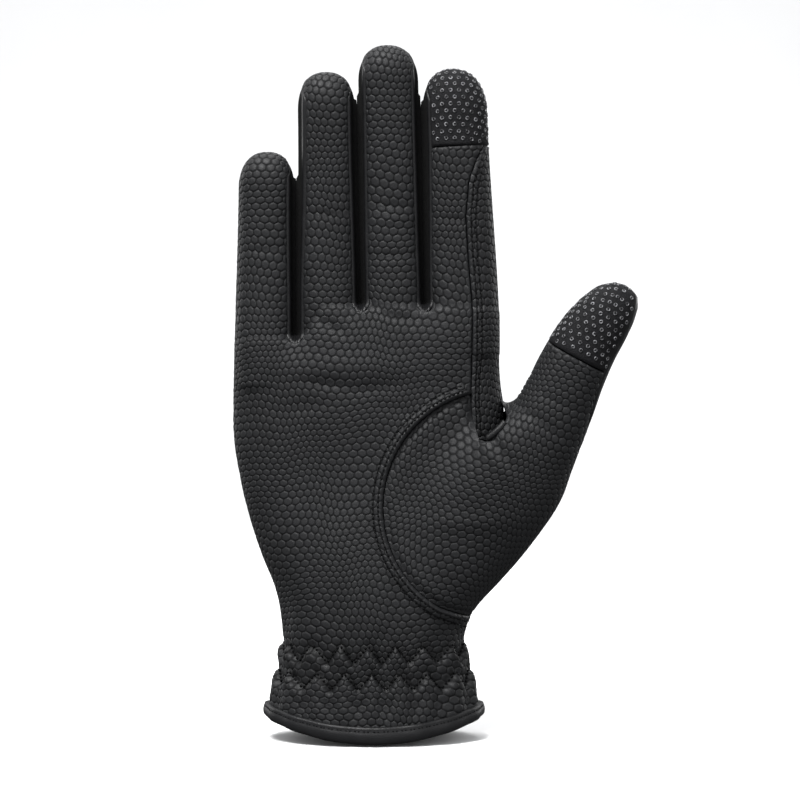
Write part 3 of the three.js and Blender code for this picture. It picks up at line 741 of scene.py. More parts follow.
# The flat place, in one pattern, of points that lie on the glove.
def trace(points, rays, guess):
    flat = guess.copy()
    step = 0.3

    def at(spots):
        origin, way, finger, field = rays(spots)
        return meet(origin, way, finger, field)[0]

    for _ in range(9):
        here = at(flat)
        slope_x = (at(flat + [step, 0]) - here) / step
        slope_z = (at(flat + [0, step]) - here) / step
        miss = points - here
        a, b, c = (slope_x**2).sum(1) + 0.01, (slope_x * slope_z).sum(1), (slope_z**2).sum(1) + 0.01
        u, v = (slope_x * miss).sum(1), (slope_z * miss).sum(1)
        flat_step = np.stack([c * u - b * v, a * v - b * u], axis=1) / (a * c - b * b)[:, None]
        length = np.linalg.norm(flat_step, axis=1)[:, None] + 1e-9
        flat = flat + flat_step * np.minimum(1, 2.5 / length)
    return flat


def curve_run(corners, count):
    rows = np.array(corners, float)
    place = np.arange(len(rows))
    at = np.linspace(0, len(rows) - 1, count)
    return np.stack([curve(place, rows[:, k], at) for k in (0, 1)], axis=1)


def on_glove(flat, rays):
    origin, way, finger, field = rays(np.asarray(flat, float))
    return meet(origin, way, finger, field)


# An outline's run moved sideways by a distance, to the left of its direction.
def shifted(run, distance):
    run = np.asarray(run, float)
    along = np.gradient(run, axis=0)
    along /= np.linalg.norm(along, axis=1)[:, None] + 1e-9
    return run + distance * np.stack([-along[:, 1], along[:, 0]], axis=1)


def tagged(run, tag):
    return [(float(x), float(z), tag) for x, z in run]


SEAM_TURN = QUARTER + 0.03
# From a finger's middle to the seam at its side, along the pattern
FINGER_FULL = FINGER_PIVOT + FINGER_TURN * SEAM_TURN
LOW_EDGE = 1.5
# Where the side seam goes on under a round seam's end
BELOW_ARC = 0.6


def seam_x(z, side):
    turn = edge_turn(z) * SEAM_TURN
    if side < 0:
        return left_edge(z) + edge_pivot(z) - turn
    return right_edge(z) - edge_pivot(z) + turn


# Flat x of a place given by its height and how far out it lies, near the right edge.
def unrolled(x, z):
    pivot = right_edge(z) - edge_pivot(z)
    out = np.clip((x - pivot) / edge_pivot(z), 0, 1)
    return np.where(x > pivot, pivot + edge_turn(z) * np.arcsin(out), x)


# The hem's run in the flat pattern, from the right side seam to the left one.
def hem_run():
    x = np.linspace(seam_x(LOW_EDGE + HEM_RISE, 1), seam_x(LOW_EDGE + HEM_RISE, -1), 60)
    left = left_edge(5) + PALM_PIVOT
    right = right_edge(5) - PALM_PIVOT
    turn = (np.minimum(0, x - left) + np.maximum(0, x - right)) / PALM_TURN
    world = np.clip(x, left, right) + PALM_PIVOT * np.sin(turn)
    return np.stack([x, LOW_EDGE + HEM_RISE * (world / HEM[0]) ** 2], axis=1)


# How far the leather reaches from the middle of a fingertip, at a turn from the finger's side.
def tip_reach(i, turn, sign):
    top = finger_top(i)
    half = finger_half(i, top)
    share = smoothstep(math.radians(4), math.radians(60), turn)
    reach = lerp(half - margin(i, sign, top), FINGER_FULL, share)
    return min(reach, (half + 0.2) / max(0.01, math.cos(turn)))


# One finger's outline, up its left side, over the tip and down its right side.
def finger_run(i, low_left, low_right, full_left=False, full_right=False):
    top = finger_top(i)

    def side(z, sign, whole):
        half = FINGER_FULL if whole else finger_half(i, z) - margin(i, sign, z)
        return finger_middle(i, z) + sign * half

    left = [(side(z, -1, full_left), z) for z in np.linspace(low_left, top, 24)[:-1]]
    right = [(side(z, 1, full_right), z) for z in np.linspace(top, low_right, 24)[1:]]
    tip = []
    for turn in np.linspace(HALF_TURN, 0, 31):
        whole = full_left if turn > QUARTER else full_right
        sign = -1 if turn > QUARTER else 1
        far = FINGER_FULL if whole else tip_reach(i, min(turn, HALF_TURN - turn), sign)
        z = top + far * math.sin(turn)
        tip.append((finger_middle(i, z) + far * math.cos(turn), z))
    return left + tip + right


# The round foot of the slot between two fingers.
def slot_foot(i):
    x = SLOTS[i]
    low = crotch(x)
    left = finger_middle(i, low) + finger_half(i, low) - SLOT_MARGIN
    right = finger_middle(i + 1, low) - finger_half(i + 1, low) + SLOT_MARGIN
    radius = (right - left) / 2
    middle = (left + right) / 2
    return [
        (middle - radius * math.cos(turn), low + SLOT_FOOT - radius * math.sin(turn))
        for turn in np.linspace(0, HALF_TURN, 13)
    ]


def panel_edge_run():
    rows = np.array(PANEL_EDGE)
    up = np.linspace(0, 1, 40)
    z = lerp(PANEL_FOOT, PATCH_FOOT, up)
    edge = INDEX_EDGE + FLEAN[INDEX] * np.maximum(0, z - KNUCKLE_HEIGHT) / FREACH[INDEX]
    return np.stack([edge - np.interp(up, rows[:, 0], rows[:, 1]) * PANEL_WIDTH, z], axis=1)


def arc_run(arc, start, end, count):
    x, z, radius = arc
    turn = np.linspace(start, end, count)
    return np.stack([x + radius * np.cos(turn), z + radius * np.sin(turn)], axis=1)


# The palm's round seam, from the side panel down to the right edge, as flat points.
def palm_arc_run():
    x, z, radius = PALM_ARC
    start = QUARTER + math.asin((x - 33.6) / radius)
    run = arc_run(PALM_ARC, start, math.radians(256), 80)
    run[:, 0] = unrolled(run[:, 0], run[:, 1])
    last = run[-1]
    end = np.array([seam_x(last[1], 1), last[1] + 0.5])
    tail = np.array([lerp(last, end, share) for share in np.linspace(0, 1, 8)[1:]])
    return np.concatenate([run, tail])


PALM_ARC_RUN = palm_arc_run()
PANEL_EDGE_RUN = panel_edge_run()
# The side panel's edge crosses the round seam here
EDGE_ABOVE_ARC = PANEL_EDGE_RUN[PANEL_EDGE_RUN[:, 1] > PALM_ARC_RUN[0, 1] + 0.3]


# What palm and back share: the left side seam, three fingers and the feet of the slots. Also the
# height where the index finger starts.
def three_fingers():
    start = crotch(FX[LITTLE])
    feet = [slot_foot(i) for i in range(3)]
    lows = [foot[0][1] for foot in feet]
    run = [(seam_x(z, -1), z) for z in np.linspace(LOW_EDGE + HEM_RISE, start, 60)[:-1]]
    run += finger_run(LITTLE, start, lows[0], full_left=True) + feet[0]
    run += finger_run(RING, lows[0], lows[1]) + feet[1]
    run += finger_run(MIDDLE, lows[1], lows[2]) + feet[2]
    return tagged(run, "seam"), lows[2]


# The right side seam from a height down, and the hem.
def seam_and_hem(low, count):
    right = [(seam_x(z, 1), z) for z in np.linspace(low, LOW_EDGE + HEM_RISE, count)[:-1]]
    return tagged(right, "seam") + tagged(hem_run(), "hem")


def palm_outline():
    corners, index_low = three_fingers()
    narrow = lambda z: finger_middle(INDEX, z) - finger_half(INDEX, z) + SLOT_MARGIN
    corners += tagged([(narrow(z), z) for z in np.linspace(index_low, PATCH_FOOT - 1.2, 24)], "seam")
    corners += tagged(EDGE_ABOVE_ARC[::-1] - [SEAM, 0], "seam")
    arc = shifted(PALM_ARC_RUN, -SEAM)
    corners += tagged(arc[:-12], "over") + tagged(arc[-12:], "seam")
    return Outline(corners + seam_and_hem(PALM_ARC_RUN[-1][1] - BELOW_ARC, 16))


# The back's round seam, from the web down to the right edge.
def back_arc_run():
    opening = math.acos((WEB[0] - BACK_ARC[0]) / BACK_ARC[2])
    run = arc_run(BACK_ARC, opening, 2 * HALF_TURN - opening, 50)
    low = run[-1]
    end = np.array([seam_x(low[1], 1), low[1] - 0.5])
    return np.concatenate([run, [lerp(low, end, share) for share in np.linspace(0, 1, 8)[1:]]])


BACK_ARC_RUN = back_arc_run()
BACK_EDGE_INSET = 4


def back_edge_run():
    z = np.linspace(WEB[1] + 0.3, KNUCKLE_HEIGHT + FREACH[INDEX] - FW[INDEX] / 2, 40)
    edge = INDEX_EDGE + FLEAN[INDEX] * np.maximum(0, z - KNUCKLE_HEIGHT) / FREACH[INDEX]
    return np.stack([edge - BACK_EDGE_INSET, z], axis=1)


BACK_EDGE_RUN = back_edge_run()


def back_outline():
    corners, index_low = three_fingers()
    run = finger_run(INDEX, index_low, PATCH_FOOT + 0.2, full_right=True)
    corners += tagged(run, "seam")
    edge = BACK_EDGE_RUN[BACK_EDGE_RUN[:, 1] < PATCH_FOOT]
    corners += tagged(edge[::-1] - [SEAM, 0], "seam")
    corners += tagged(shifted(BACK_ARC_RUN, -SEAM), "over")
    return Outline(corners + seam_and_hem(BACK_ARC_RUN[-1][1] - BELOW_ARC, 24))


SIDE_FRONT = trace(on_glove(PANEL_EDGE_RUN, hand_front)[0], side_rays, PANEL_EDGE_RUN)


# Side panel: its palm edge is the palm's, then it runs round the finger to its back edge.
def side_outline():
    edge = BACK_EDGE_RUN[BACK_EDGE_RUN[:, 1] < PATCH_FOOT]
    behind = on_glove(edge, hand_back)[0]
    z = edge[:, 1]
    pivot = finger_middle(INDEX, z) + finger_half(INDEX, z) - FINGER_PIVOT
    guess = np.stack([pivot + FINGER_TURN * (HALF_TURN - 0.15), z], axis=1)
    behind = trace(behind, side_rays, guess)
    pivot = right_edge(WEB[1]) - edge_pivot(WEB[1])
    turn = edge_turn(WEB[1])
    foot = [(40.0, PANEL_FOOT - 1.5), (pivot + turn * 0.9, WEB[1] - 10), (pivot + turn * 1.5, WEB[1] - 6)]
    return Outline(tagged(SIDE_FRONT[::-1], "sewn") + tagged([*foot, *behind], "seam"))


# The thumb's palm panel. Its round seam is the palm's, traced into the thumb's own pattern.
def thumb_outline():
    arc = on_glove(PALM_ARC_RUN, hand_front)[0]
    arc_flat = trace(arc, thumb_front, to_thumb(arc)[:, [0, 2]])
    side = PANEL_EDGE_RUN[PANEL_EDGE_RUN[:, 1] < PALM_ARC_RUN[0, 1]]
    foot = on_glove(side, hand_front)[0]
    foot_flat = trace(foot, thumb_front, to_thumb(foot)[:, [0, 2]])
    along = np.array([arc_flat[-1][1] + 8, -6, 8, 22, 36, 45.5])
    angle = np.array([1.98, 1.85, 1.72, 1.7, 1.68, 1.66])
    rising = list(zip(thumb_outer(angle, along), along))
    seam = []
    for share, out in THUMB_SIDE_SEAM[1:-1]:
        z = share * THUMB_LENGTH
        reach = curve(T_ALONG, T_OUTER, share) * THUMB_WIDTH - THUMB_PIVOT
        x = out * THUMB_WIDTH - THUMB_PIVOT
        turn = math.asin(min(1, x / reach))
        if z < THUMB_PATCH:
            seam.append((thumb_outer(turn, z), z))
    top = THUMB_PATCH - 0.2
    inner = lambda z: thumb_inner(PANEL_INNER, z)
    web = [(-12.6, 34.8), (-12.2, 39), (-13.0, 42), (-15.5, 44.2), (inner(46.5) + 1.5, 46.5)]
    web += [(inner(49), 49), (inner(53), 53)]
    corners = tagged(arc_flat, "under")
    corners += tagged(rising + seam + [(thumb_outer(PANEL_OUTER, top), top)], "seam")
    corners += tagged([(inner(top), top), (inner(62), 62), *web[::-1]], "seam")
    corners += tagged(foot_flat[np.argsort(-foot_flat[:, 1])][::-1], "under")
    return Outline(corners)


# The thumb's textile tip in the thumb's pattern, and the index finger's in the hand's.
def thumb_tip_outline():
    heights = np.linspace(THUMB_PATCH + 0.2, THUMB_LENGTH + 0.95, 14)
    corners = [(thumb_outer(TIP_OUTER, z), z) for z in heights]
    corners += [(thumb_inner(TIP_INNER, z), z) for z in heights[::-1]]
    return Outline(tagged(corners, "seam"), 0.7)


def index_tip_outline():
    top = finger_top(INDEX)
    low_left = finger_middle(INDEX, PATCH_FOOT) - finger_half(INDEX, PATCH_FOOT) + SLOT_MARGIN
    right = finger_middle(INDEX, PATCH_FOOT) + FINGER_FULL
    corners = [(low_left, PATCH_FOOT - 0.8), (right, PATCH_FOOT + 0.3), (right, top)]
    for turn in np.linspace(0, HALF_TURN, 31)[1:]:
        far = FINGER_FULL if turn < QUARTER else tip_reach(INDEX, HALF_TURN - turn, -1)
        z = top + far * math.sin(turn)
        corners.append((finger_middle(INDEX, z) + far * math.cos(turn), z))
    return Outline(tagged(corners, "seam"))


# The thumb's smooth back: its edges follow the palm-side panels' edges and the back's round seam.
def thumb_back_outline():
    arc = on_glove(BACK_ARC_RUN, hand_back)[0]
    arc_flat = trace(arc, thumb_behind, to_thumb(arc)[:, [0, 2]])
    ends = [THUMB_TOP, THUMB_TOP + 7, THUMB_TOP + 14]
    right = [(thumb_outer(turn, z), z) for z, turn in [
        (max(arc_flat[-1][1] + 2, -4), 1.3), (8, 1.42), (22, 1.44), (36, 1.46), (45.5, 1.5), (50, 1.85),
        (56, 2.0), (63, 2.2), (71, 2.35), (80, REAR_OUTER), *((z, REAR_OUTER) for z in ends),
    ]]
    left = [(thumb_inner(turn, z), z) for z, turn in [
        *((z, REAR_INNER) for z in ends[::-1]), (80, 1.55), (71, 1.52), (62, 1.5), (53, 1.5), (49, 1.5),
    ]]
    web = [(thumb_inner(1.5, 46.5) + 1.5, 46.5), (-15.5, 44.2), (-13, 42.5)]
    return Outline(tagged(arc_flat, "under") + tagged(right + left + web, "seam"))


# How far the strip between two fingers stands out of the finger's side. across: 0 in the middle of
# the strip, 1 at its edges under the palm and the back
STRIP_ROWS = [
    # across, out
    (0, 0.38), (0.1, 0.38), (0.22, -0.9), (0.42, -1.6), (0.6, -1.1), (0.72, -0.3), (0.82, 0.1),
    (0.92, 0.05), (1, -0.8),
]
STRIP_FOOT = 3.4


# The strip between two fingers: two walls and the saddle that joins them at the foot of the slot.
def fourchette(name, i, material):
    across = 41
    share = np.abs(np.linspace(-1, 1, across))
    out_rows = np.array(STRIP_ROWS)
    stand = np.interp(share, out_rows[:, 0], out_rows[:, 1])
    walls = []
    for finger, sign in ((i, 1), (i + 1, -1)):
        top = finger_top(finger)
        low = crotch(SLOTS[i]) + STRIP_FOOT
        heights = np.linspace(low, top, 60)
        rows = [(z, 0.0, finger_half(finger, z) - margin(finger, sign, z)) for z in heights]
        for turn in np.radians(np.linspace(3, 60, 14)):
            rows.append((top, turn, tip_reach(finger, turn, sign)))
        origin, way = [], []
        for z, turn, far in rows:
            start = (far - FINGER_PIVOT) / FINGER_TURN - 0.07
            side, up = sign * math.cos(turn), math.sin(turn)
            height = z + FINGER_PIVOT * up
            middle = finger_middle(finger, z)
            for angle in np.linspace(start, HALF_TURN - start, across):
                origin.append((middle + FINGER_PIVOT * side, curl(height), height))
                way.append((math.sin(angle) * side, -math.cos(angle), math.sin(angle) * up))
        origin, way = np.array(origin), np.array(way)
        point, normal = meet(origin, way, np.full(len(origin), finger), finger_field)
        z = np.array([row[0] for row in rows])
        apart = finger_middle(i + 1, z) - finger_half(i + 1, z) - finger_middle(i, z) - finger_half(i, z)
        shorter = KNUCKLE_HEIGHT + min(FREACH[i], FREACH[i + 1]) - 8
        close = np.where(z < shorter, apart / 2 + 0.05, -0.5)[:, None]
        close = np.where(np.array([row[1] for row in rows])[:, None] > 0.2, -0.5, close)
        offset = np.where(share < 0.14, np.maximum(close, -0.5), stand)
        walls.append((point + normal * offset.reshape(-1, 1)).reshape(len(rows), across, 3))
    left, right = walls
    floor = []
    for place in np.linspace(-1, 1, 23)[1:-1]:
        row = lerp(left[0], right[0], (place + 1) / 2)
        pucker = 0.45 * np.cos(5 * QUARTER * place) ** 2 * smoothstep(0.3, 0.7, share)
        row[:, 2] -= (1 - place**2) * (0.5 + 3.2 * share**4) + pucker
        row[:, 1] += np.sign(row[:, 1]) * 2.4 * (1 - place**2) * smoothstep(0.35, 1, share)
        floor.append(row)
    sheet = np.concatenate([left[::-1], np.array(floor), right])
    rows = len(sheet)
    quads = grid_quads(rows, across)
    # deep: painted shade down in the slot, darkest along the middle of the strip and its saddle; it also
    # makes the leather rougher
    deep = np.tile(smoothstep(0.78, 0.55, share), rows)
    saddle = np.repeat(np.isin(np.arange(rows), len(left) + np.arange(-3, len(floor) + 3)), across)
    deep = np.where(saddle, np.tile(smoothstep(0.5, 0.2, share), rows), deep)
    mesh = make_mesh(name + "_leather", sheet.reshape(-1, 3), quads.tolist(), {"deep": deep})
    piece = new_object(name + "_leather", mesh, material)
    thicken = piece.modifiers.new("wall", "SOLIDIFY")
    thicken.thickness = -0.8 * MM
    thicken.offset = -1
    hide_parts(name)
    return piece


# Node materials
class Nodes:
    def __init__(self, name):
        self.material = bpy.data.materials.new(name)
        self.material.use_nodes = True
        self.tree = self.material.node_tree
        self.tree.nodes.clear()
        self.output = self.add("ShaderNodeOutputMaterial")

    def add(self, kind, **settings):
        node = self.tree.nodes.new(kind)
        for key, value in settings.items():
            setattr(node, key, value)
        return node

    def link(self, source, target):
        self.tree.links.new(source, target)

    def attribute(self, name):
        return self.add("ShaderNodeAttribute", attribute_name=name).outputs["Fac"]

    def noise(self, scale, detail=3.0):
        node = self.add("ShaderNodeTexNoise")
        node.inputs["Scale"].default_value = scale
        node.inputs["Detail"].default_value = detail
        node.inputs["Roughness"].default_value = 0.55
        self.link(self.add("ShaderNodeTexCoord").outputs["Object"], node.inputs["Vector"])
        return node.outputs["Fac"]

    def grain(self, scale):
        node = self.add("ShaderNodeTexVoronoi", feature="F1")
        node.inputs["Scale"].default_value = scale
        self.link(self.add("ShaderNodeTexCoord").outputs["Object"], node.inputs["Vector"])
        return node.outputs["Distance"]

    def spread(self, source, low, high, to_low, to_high):
        node = self.add("ShaderNodeMapRange")
        for key, value in zip(("From Min", "From Max", "To Min", "To Max"), (low, high, to_low, to_high)):
            node.inputs[key].default_value = value
        self.link(source, node.inputs["Value"])
        return node.outputs["Result"]

    def ramp(self, source, stops):
        node = self.add("ShaderNodeValToRGB")
        elements = node.color_ramp.elements
        while len(elements) < len(stops):
            elements.new(0.5)
        for element, (place, colour) in zip(elements, stops):
            element.position = place
            element.color = (*colour, 1)
        self.link(source, node.inputs["Fac"])
        return node.outputs["Color"]

    def math(self, operation, a, b):
        node = self.add("ShaderNodeMath", operation=operation)
        for socket, value in zip(node.inputs, (a, b)):
            if isinstance(value, (int, float)):
                socket.default_value = value
            else:
                self.link(value, socket)
        return node.outputs["Value"]

    def mix(self, share, a, b, blend="MIX"):
        node = self.add("ShaderNodeMix", data_type="RGBA", blend_type=blend)
        for key, value in (("Factor", share), ("A", a), ("B", b)):
            socket = [s for s in node.inputs if s.name == key and s.enabled][0]
            if isinstance(value, (int, float)):
                socket.default_value = value
            elif isinstance(value, tuple):
                socket.default_value = (*value, 1)
            else:
                self.link(value, socket)
        return [s for s in node.outputs if s.enabled][0]

    # Distance of a value from a place, with no sign.
    def apart(self, value, place):
        return self.math("ABSOLUTE", self.math("SUBTRACT", value, place), 0)

    def bump(self, height, distance, normal=None):
        node = self.add("ShaderNodeBump")
        node.inputs["Distance"].default_value = distance
        node.inputs["Strength"].default_value = 1
        self.link(height, node.inputs["Height"])
        if normal is not None:
            self.link(normal, node.inputs["Normal"])
        return node.outputs["Normal"]

    def finish(self, colour, roughness, normal, specular, metallic=0.0):
        shader = self.add("ShaderNodeBsdfPrincipled")
        shader.inputs["Specular IOR Level"].default_value = specular
        shader.inputs["Metallic"].default_value = metallic
        for key, value in (("Base Color", colour), ("Roughness", roughness), ("Normal", normal)):
            self.link(value, shader.inputs[key])
        self.link(shader.outputs["BSDF"], self.output.inputs["Surface"])
        return self.material


def embossed_leather():
    n = Nodes("embossed_leather")
    groove = n.attribute("groove")
    # painted shade and highlight: near-black in the cells' grooves, a little lighter on their shoulders
    groove_shade_and_rim_highlight = n.ramp(groove, [
        (0.0, (0.0092, 0.0094, 0.0102)), (0.35, (0.011, 0.0113, 0.0122)), (0.6, (0.0045, 0.0046, 0.005)),
        (0.95, (0.0012, 0.0012, 0.0014)),
    ])
    blotch = n.ramp(n.noise(70), [(0.3, (0.72, 0.72, 0.72)), (0.7, (1.0, 1.0, 1.0))])
    colour = n.mix(1.0, groove_shade_and_rim_highlight, blotch, "MULTIPLY")
    # painted shade in the thread holes: two dark rows along the sewn edges
    sewn = n.attribute("sewn")
    rows = n.math("MINIMUM", n.apart(sewn, 1.6), n.apart(sewn, 3.4))
    colour = n.mix(n.spread(rows, 0.12, 0.4, 0.75, 0), colour, (0.001, 0.001, 0.0012))
    # painted shade along the zigzag stitch lines at the wrist
    colour = n.mix(n.spread(n.attribute("pinch_painted_shade"), 0.2, 1, 0, 0.85), colour, (0.001, 0.001, 0.0012))
    rough = n.math("ADD", n.spread(groove, 0, 1, 0.46, 0.8), n.spread(n.noise(700), 0.3, 0.7, -0.05, 0.08))
    fine = n.bump(n.grain(4200), 0.00004)
    normal = n.bump(n.noise(1500, 4), 0.00006, fine)
    normal = n.bump(n.spread(rows, 0, 0.5, 0, 1), 0.00025, normal)
    return n.finish(colour, rough, normal, 0.22)


def smooth_leather():
    n = Nodes("smooth_leather")
    colour = n.ramp(n.noise(160, 4), [(0.3, (0.003, 0.003, 0.0034)), (0.7, (0.006, 0.006, 0.0067))])
    # painted shade: the strip between two fingers darkens towards its middle, down in the slot
    deep = n.ramp(n.attribute("deep"), [(0.0, (1, 1, 1)), (0.8, (0.05, 0.05, 0.05))])
    colour = n.mix(1.0, colour, deep, "MULTIPLY")
    grainy, hollow = n.noise(500), n.attribute("deep")
    rough = n.math("ADD", n.spread(grainy, 0.3, 0.7, 0.4, 0.52), n.spread(hollow, 0, 1, 0, 0.45))
    fine = n.bump(n.grain(2600), 0.00005)
    normal = n.bump(n.noise(700, 4), 0.00008, fine)
    return n.finish(colour, rough, normal, 0.24)


def tip_textile():
    n = Nodes("tip_textile")
    colour = n.ramp(n.noise(2500, 2), [(0.3, (0.003, 0.003, 0.0035)), (0.7, (0.009, 0.009, 0.01))])
    rough = n.spread(n.noise(900), 0.3, 0.7, 0.7, 0.88)
    normal = n.bump(n.grain(2400), 0.00012)
    return n.finish(colour, rough, normal, 0.15)


def thread():
    n = Nodes("thread")
    colour = n.ramp(n.noise(3000, 2), [(0.3, (0.0008, 0.0008, 0.0009)), (0.7, (0.003, 0.003, 0.0034))])
    rough = n.spread(n.noise(3000, 2), 0.3, 0.7, 0.5, 0.7)
    normal = n.bump(n.noise(4500, 2), 0.00006)
    return n.finish(colour, rough, normal, 0.06)


def grip_print():
    n = Nodes("grip_print")
    # painted glints: the rings' base colour is dark with bright patches
    colour = n.ramp(n.noise(1100, 2), [(0.42, (0.008, 0.008, 0.009)), (0.66, (0.24, 0.24, 0.25))])
    rough = n.spread(n.noise(2200, 2), 0.3, 0.7, 0.25, 0.5)
    normal = n.bump(n.noise(2600, 2), 0.00008)
    return n.finish(colour, rough, normal, 0.5, metallic=0.3)


def floor_paper():
    n = Nodes("floor_paper")
    colour = n.ramp(n.noise(6), [(0.3, (0.79, 0.79, 0.79)), (0.7, (0.81, 0.81, 0.81))])
    rough = n.spread(n.noise(20), 0.3, 0.7, 0.8, 0.9)
    normal = n.bump(n.noise(800), 0.00002)
    return n.finish(colour, rough, normal, 0.2)


# Relief of the hand's front and back: folds and the gathered wrist.
GATHER_PITCH = 9.4
ZIGZAG = [
    # top, low, start: place of one upper corner
    (32.8, 27.0, -1.9), (23.6, 18.2, -0.5),
]
# across, up: middle of a fold; long, wide: its half lengths; deep: how far it goes in; turn: degrees
FRONT_FOLDS = [
    (-15.0, 140.5, 5.5, 1.7, 0.9, -30), (6.5, 144, 6.5, 1.6, 0.8, -18),
    (-16, 120.5, 9, 1.8, 0.7, -5), (0, 119, 10, 2.2, 0.6, 7), (-10, 126, 22, 4.2, -0.7, 1),
    (-12, 90, 16, 18, 1.4, -20), (-22, 113, 8, 2.4, 0.4, 8), (8, 112, 9, 2.2, 0.3, -14),
    (24.5, 97.5, 9, 1.5, 0.9, -23), (26.5, 110.5, 7, 2.0, -0.6, 12),
    (6.2, 181, 8, 1.2, 0.4, 0), (6.2, 176.5, 8, 1.3, -0.3, 0), (6.2, 164, 8, 1.4, 0.4, 2),
    (-15, 178, 8, 1.3, 0.35, 2), (30, 176, 9, 1.4, 0.4, -3), (-37, 166, 8, 1.3, 0.35, 4),
]


def folds(flat, table):
    total = np.zeros(len(flat))
    for across, up, long, wide, deep, turn in table:
        c, s = math.cos(math.radians(turn)), math.sin(math.radians(turn))
        dx, dz = flat[:, 0] - across, flat[:, 1] - up
        total -= deep * np.exp(-(((dx * c + dz * s) / long) ** 2) - ((dz * c - dx * s) / wide) ** 2)
    return total


# Distance from a zigzag row's line: above it positive.
def zigzag_gap(x, z, row):
    top, low, start = row
    share = np.abs(((x - start) / GATHER_PITCH) % 1 - 0.5) * 2
    return (z - low - (top - low) * share) / math.hypot(1, (top - low) * 2 / GATHER_PITCH)


# Distance of points on the wrist's front from the nearest zigzag line
def zigzag_lines(points):
    x, z = points[:, 0], points[:, 2]
    over = np.abs(x) - (WRIST[0] - PALM_PIVOT)
    turn = np.arcsin(np.clip(over / PALM_PIVOT, 0, 1)) * PALM_TURN
    flat_x = np.where(over > 0, np.sign(x) * (WRIST[0] - PALM_PIVOT + turn), x)
    return np.min([np.abs(zigzag_gap(flat_x, z, row)) for row in ZIGZAG], axis=0)


# Across a row of stitches: sunk above the line, pinched at it and puffed out below it.
def ledge(gap):
    width = np.where(gap > 0, 1.8, 0.9)
    return 0.95 * bump(gap + 2.0, 1.6) - 1.05 * bump(gap, width)


def gathers(flat):
    x, z = flat.T
    height = np.zeros(len(x))
    for row in ZIGZAG:
        top, low, start = row
        phase = 2 * HALF_TURN * (x - start) / GATHER_PITCH
        gap = zigzag_gap(x, z, row)
        around = smoothstep(low - 9, low - 2, z) * (1 - smoothstep(top + 1, top + 8, z))
        line = ledge(gap) * (1 + 0.25 * np.sin(x * 0.61 + top))
        height += around * (line + 0.35 * np.cos(phase) - 0.25)
    drift = 0.5 * np.sin(x * 0.37) + 0.3 * np.sin(x * 0.83 + 1)
    phase = 2 * HALF_TURN * (x - ZIGZAG[1][2]) / GATHER_PITCH
    below = smoothstep(5, 12, z) * (1 - smoothstep(15, 20, z))
    height += 0.6 * below * np.cos(phase + drift * 0.5)
    phase = 2 * HALF_TURN * (x - ZIGZAG[0][2]) / GATHER_PITCH
    above = smoothstep(31, 37, z) * (1 - smoothstep(40, 60, z))
    return height + above * (0.3 * np.cos(phase * 0.5 + drift) - 0.2 * np.cos(phase))


def hand_relief(table):
    def relief(flat, depth, tag, point):
        pattern = np.stack([flat[:, 0], point[:, 2]], axis=1)
        return folds(flat, table) + gathers(pattern)
    return relief


def plain_relief(flat, depth, tag, point):
    return np.zeros(len(flat))


def thumb_relief(flat, depth, tag, point):
    return folds(flat, THUMB_FOLDS)


THUMB_FOLDS = [
    (-12, 34, 12, 1.6, 0.8, -22), (-10, 29, 12, 1.8, -0.5, -22), (0, 47, 12, 1.6, 0.5, -6),
    (2, 56, 10, 1.5, 0.35, 4), (-6, 6, 14, 3.0, -0.6, 30),
]


LEATHER_HEX = embossed_leather()
LEATHER_PLAIN = smooth_leather()
TEXTILE = tip_textile()
THREAD = thread()
GRIP = grip_print()

palm = palm_outline()
panel(
    "palm_leather", hand_front, palm, cells(palm, 3, arch=0.0006), hand_relief(FRONT_FOLDS),
    LEATHER_HEX, ["palm_panel"], lines=zigzag_lines,
)
behind = back_outline()
panel(
    "back_leather", hand_back, behind, cells(behind, 5), hand_relief([]),
    LEATHER_HEX, ["back_panel"], mirrored=True,
)
side = side_outline()
panel(
    "index_side_leather", side_rays, side, cells(side, 7), plain_relief,
    LEATHER_HEX, ["index_side_panel"],
)
thumb = thumb_outline()
panel(
    "thumb_leather", thumb_front, thumb, cells(thumb, 9, turn=math.radians(10)), thumb_relief,
    LEATHER_HEX, ["thumb_panel"],
)


thumb_tip = thumb_tip_outline()
panel(
    "thumb_tip_textile", thumb_front, thumb_tip, squares(thumb_tip, FINE_STEP), plain_relief,
    TEXTILE, ["thumb_tip_patch"],
)
index_tip = index_tip_outline()
panel(
    "index_tip_textile", hand_front, index_tip, squares(index_tip, FINE_STEP), plain_relief,
    TEXTILE, ["index_tip_patch"],
)
thumb_rear = thumb_back_outline()
panel(
    "thumb_back_leather", thumb_behind, thumb_rear, squares(thumb_rear, FINE_STEP), plain_relief,
    LEATHER_PLAIN, ["thumb_back"], mirrored=True,
)


# Short rounded bars of thread: ends and normals in, one mesh out.
def thread_bars(name, start, end, normal, thick, out):
    rings, sides = [(0, 0.4), (0.2, 1), (0.8, 1), (1, 0.4)], 6
    along = end - start
    along /= np.linalg.norm(along, axis=1)[:, None]
    aside = np.cross(along, normal)
    points = []
    for share, size in rings:
        centre = lerp(start, end, share) + normal * out
        for angle in np.arange(sides) * 2 * HALF_TURN / sides:
            points.append(centre + size * thick * (math.cos(angle) * aside + math.sin(angle) * normal))
    points = np.stack(points, axis=1)
    count = len(rings) * sides
    faces = []
    for bar in range(len(start)):
        faces += tube_faces(len(rings), sides, bar * count)
    mesh = make_mesh(name, points.reshape(-1, 3), faces)
    return new_object(name, mesh, THREAD)


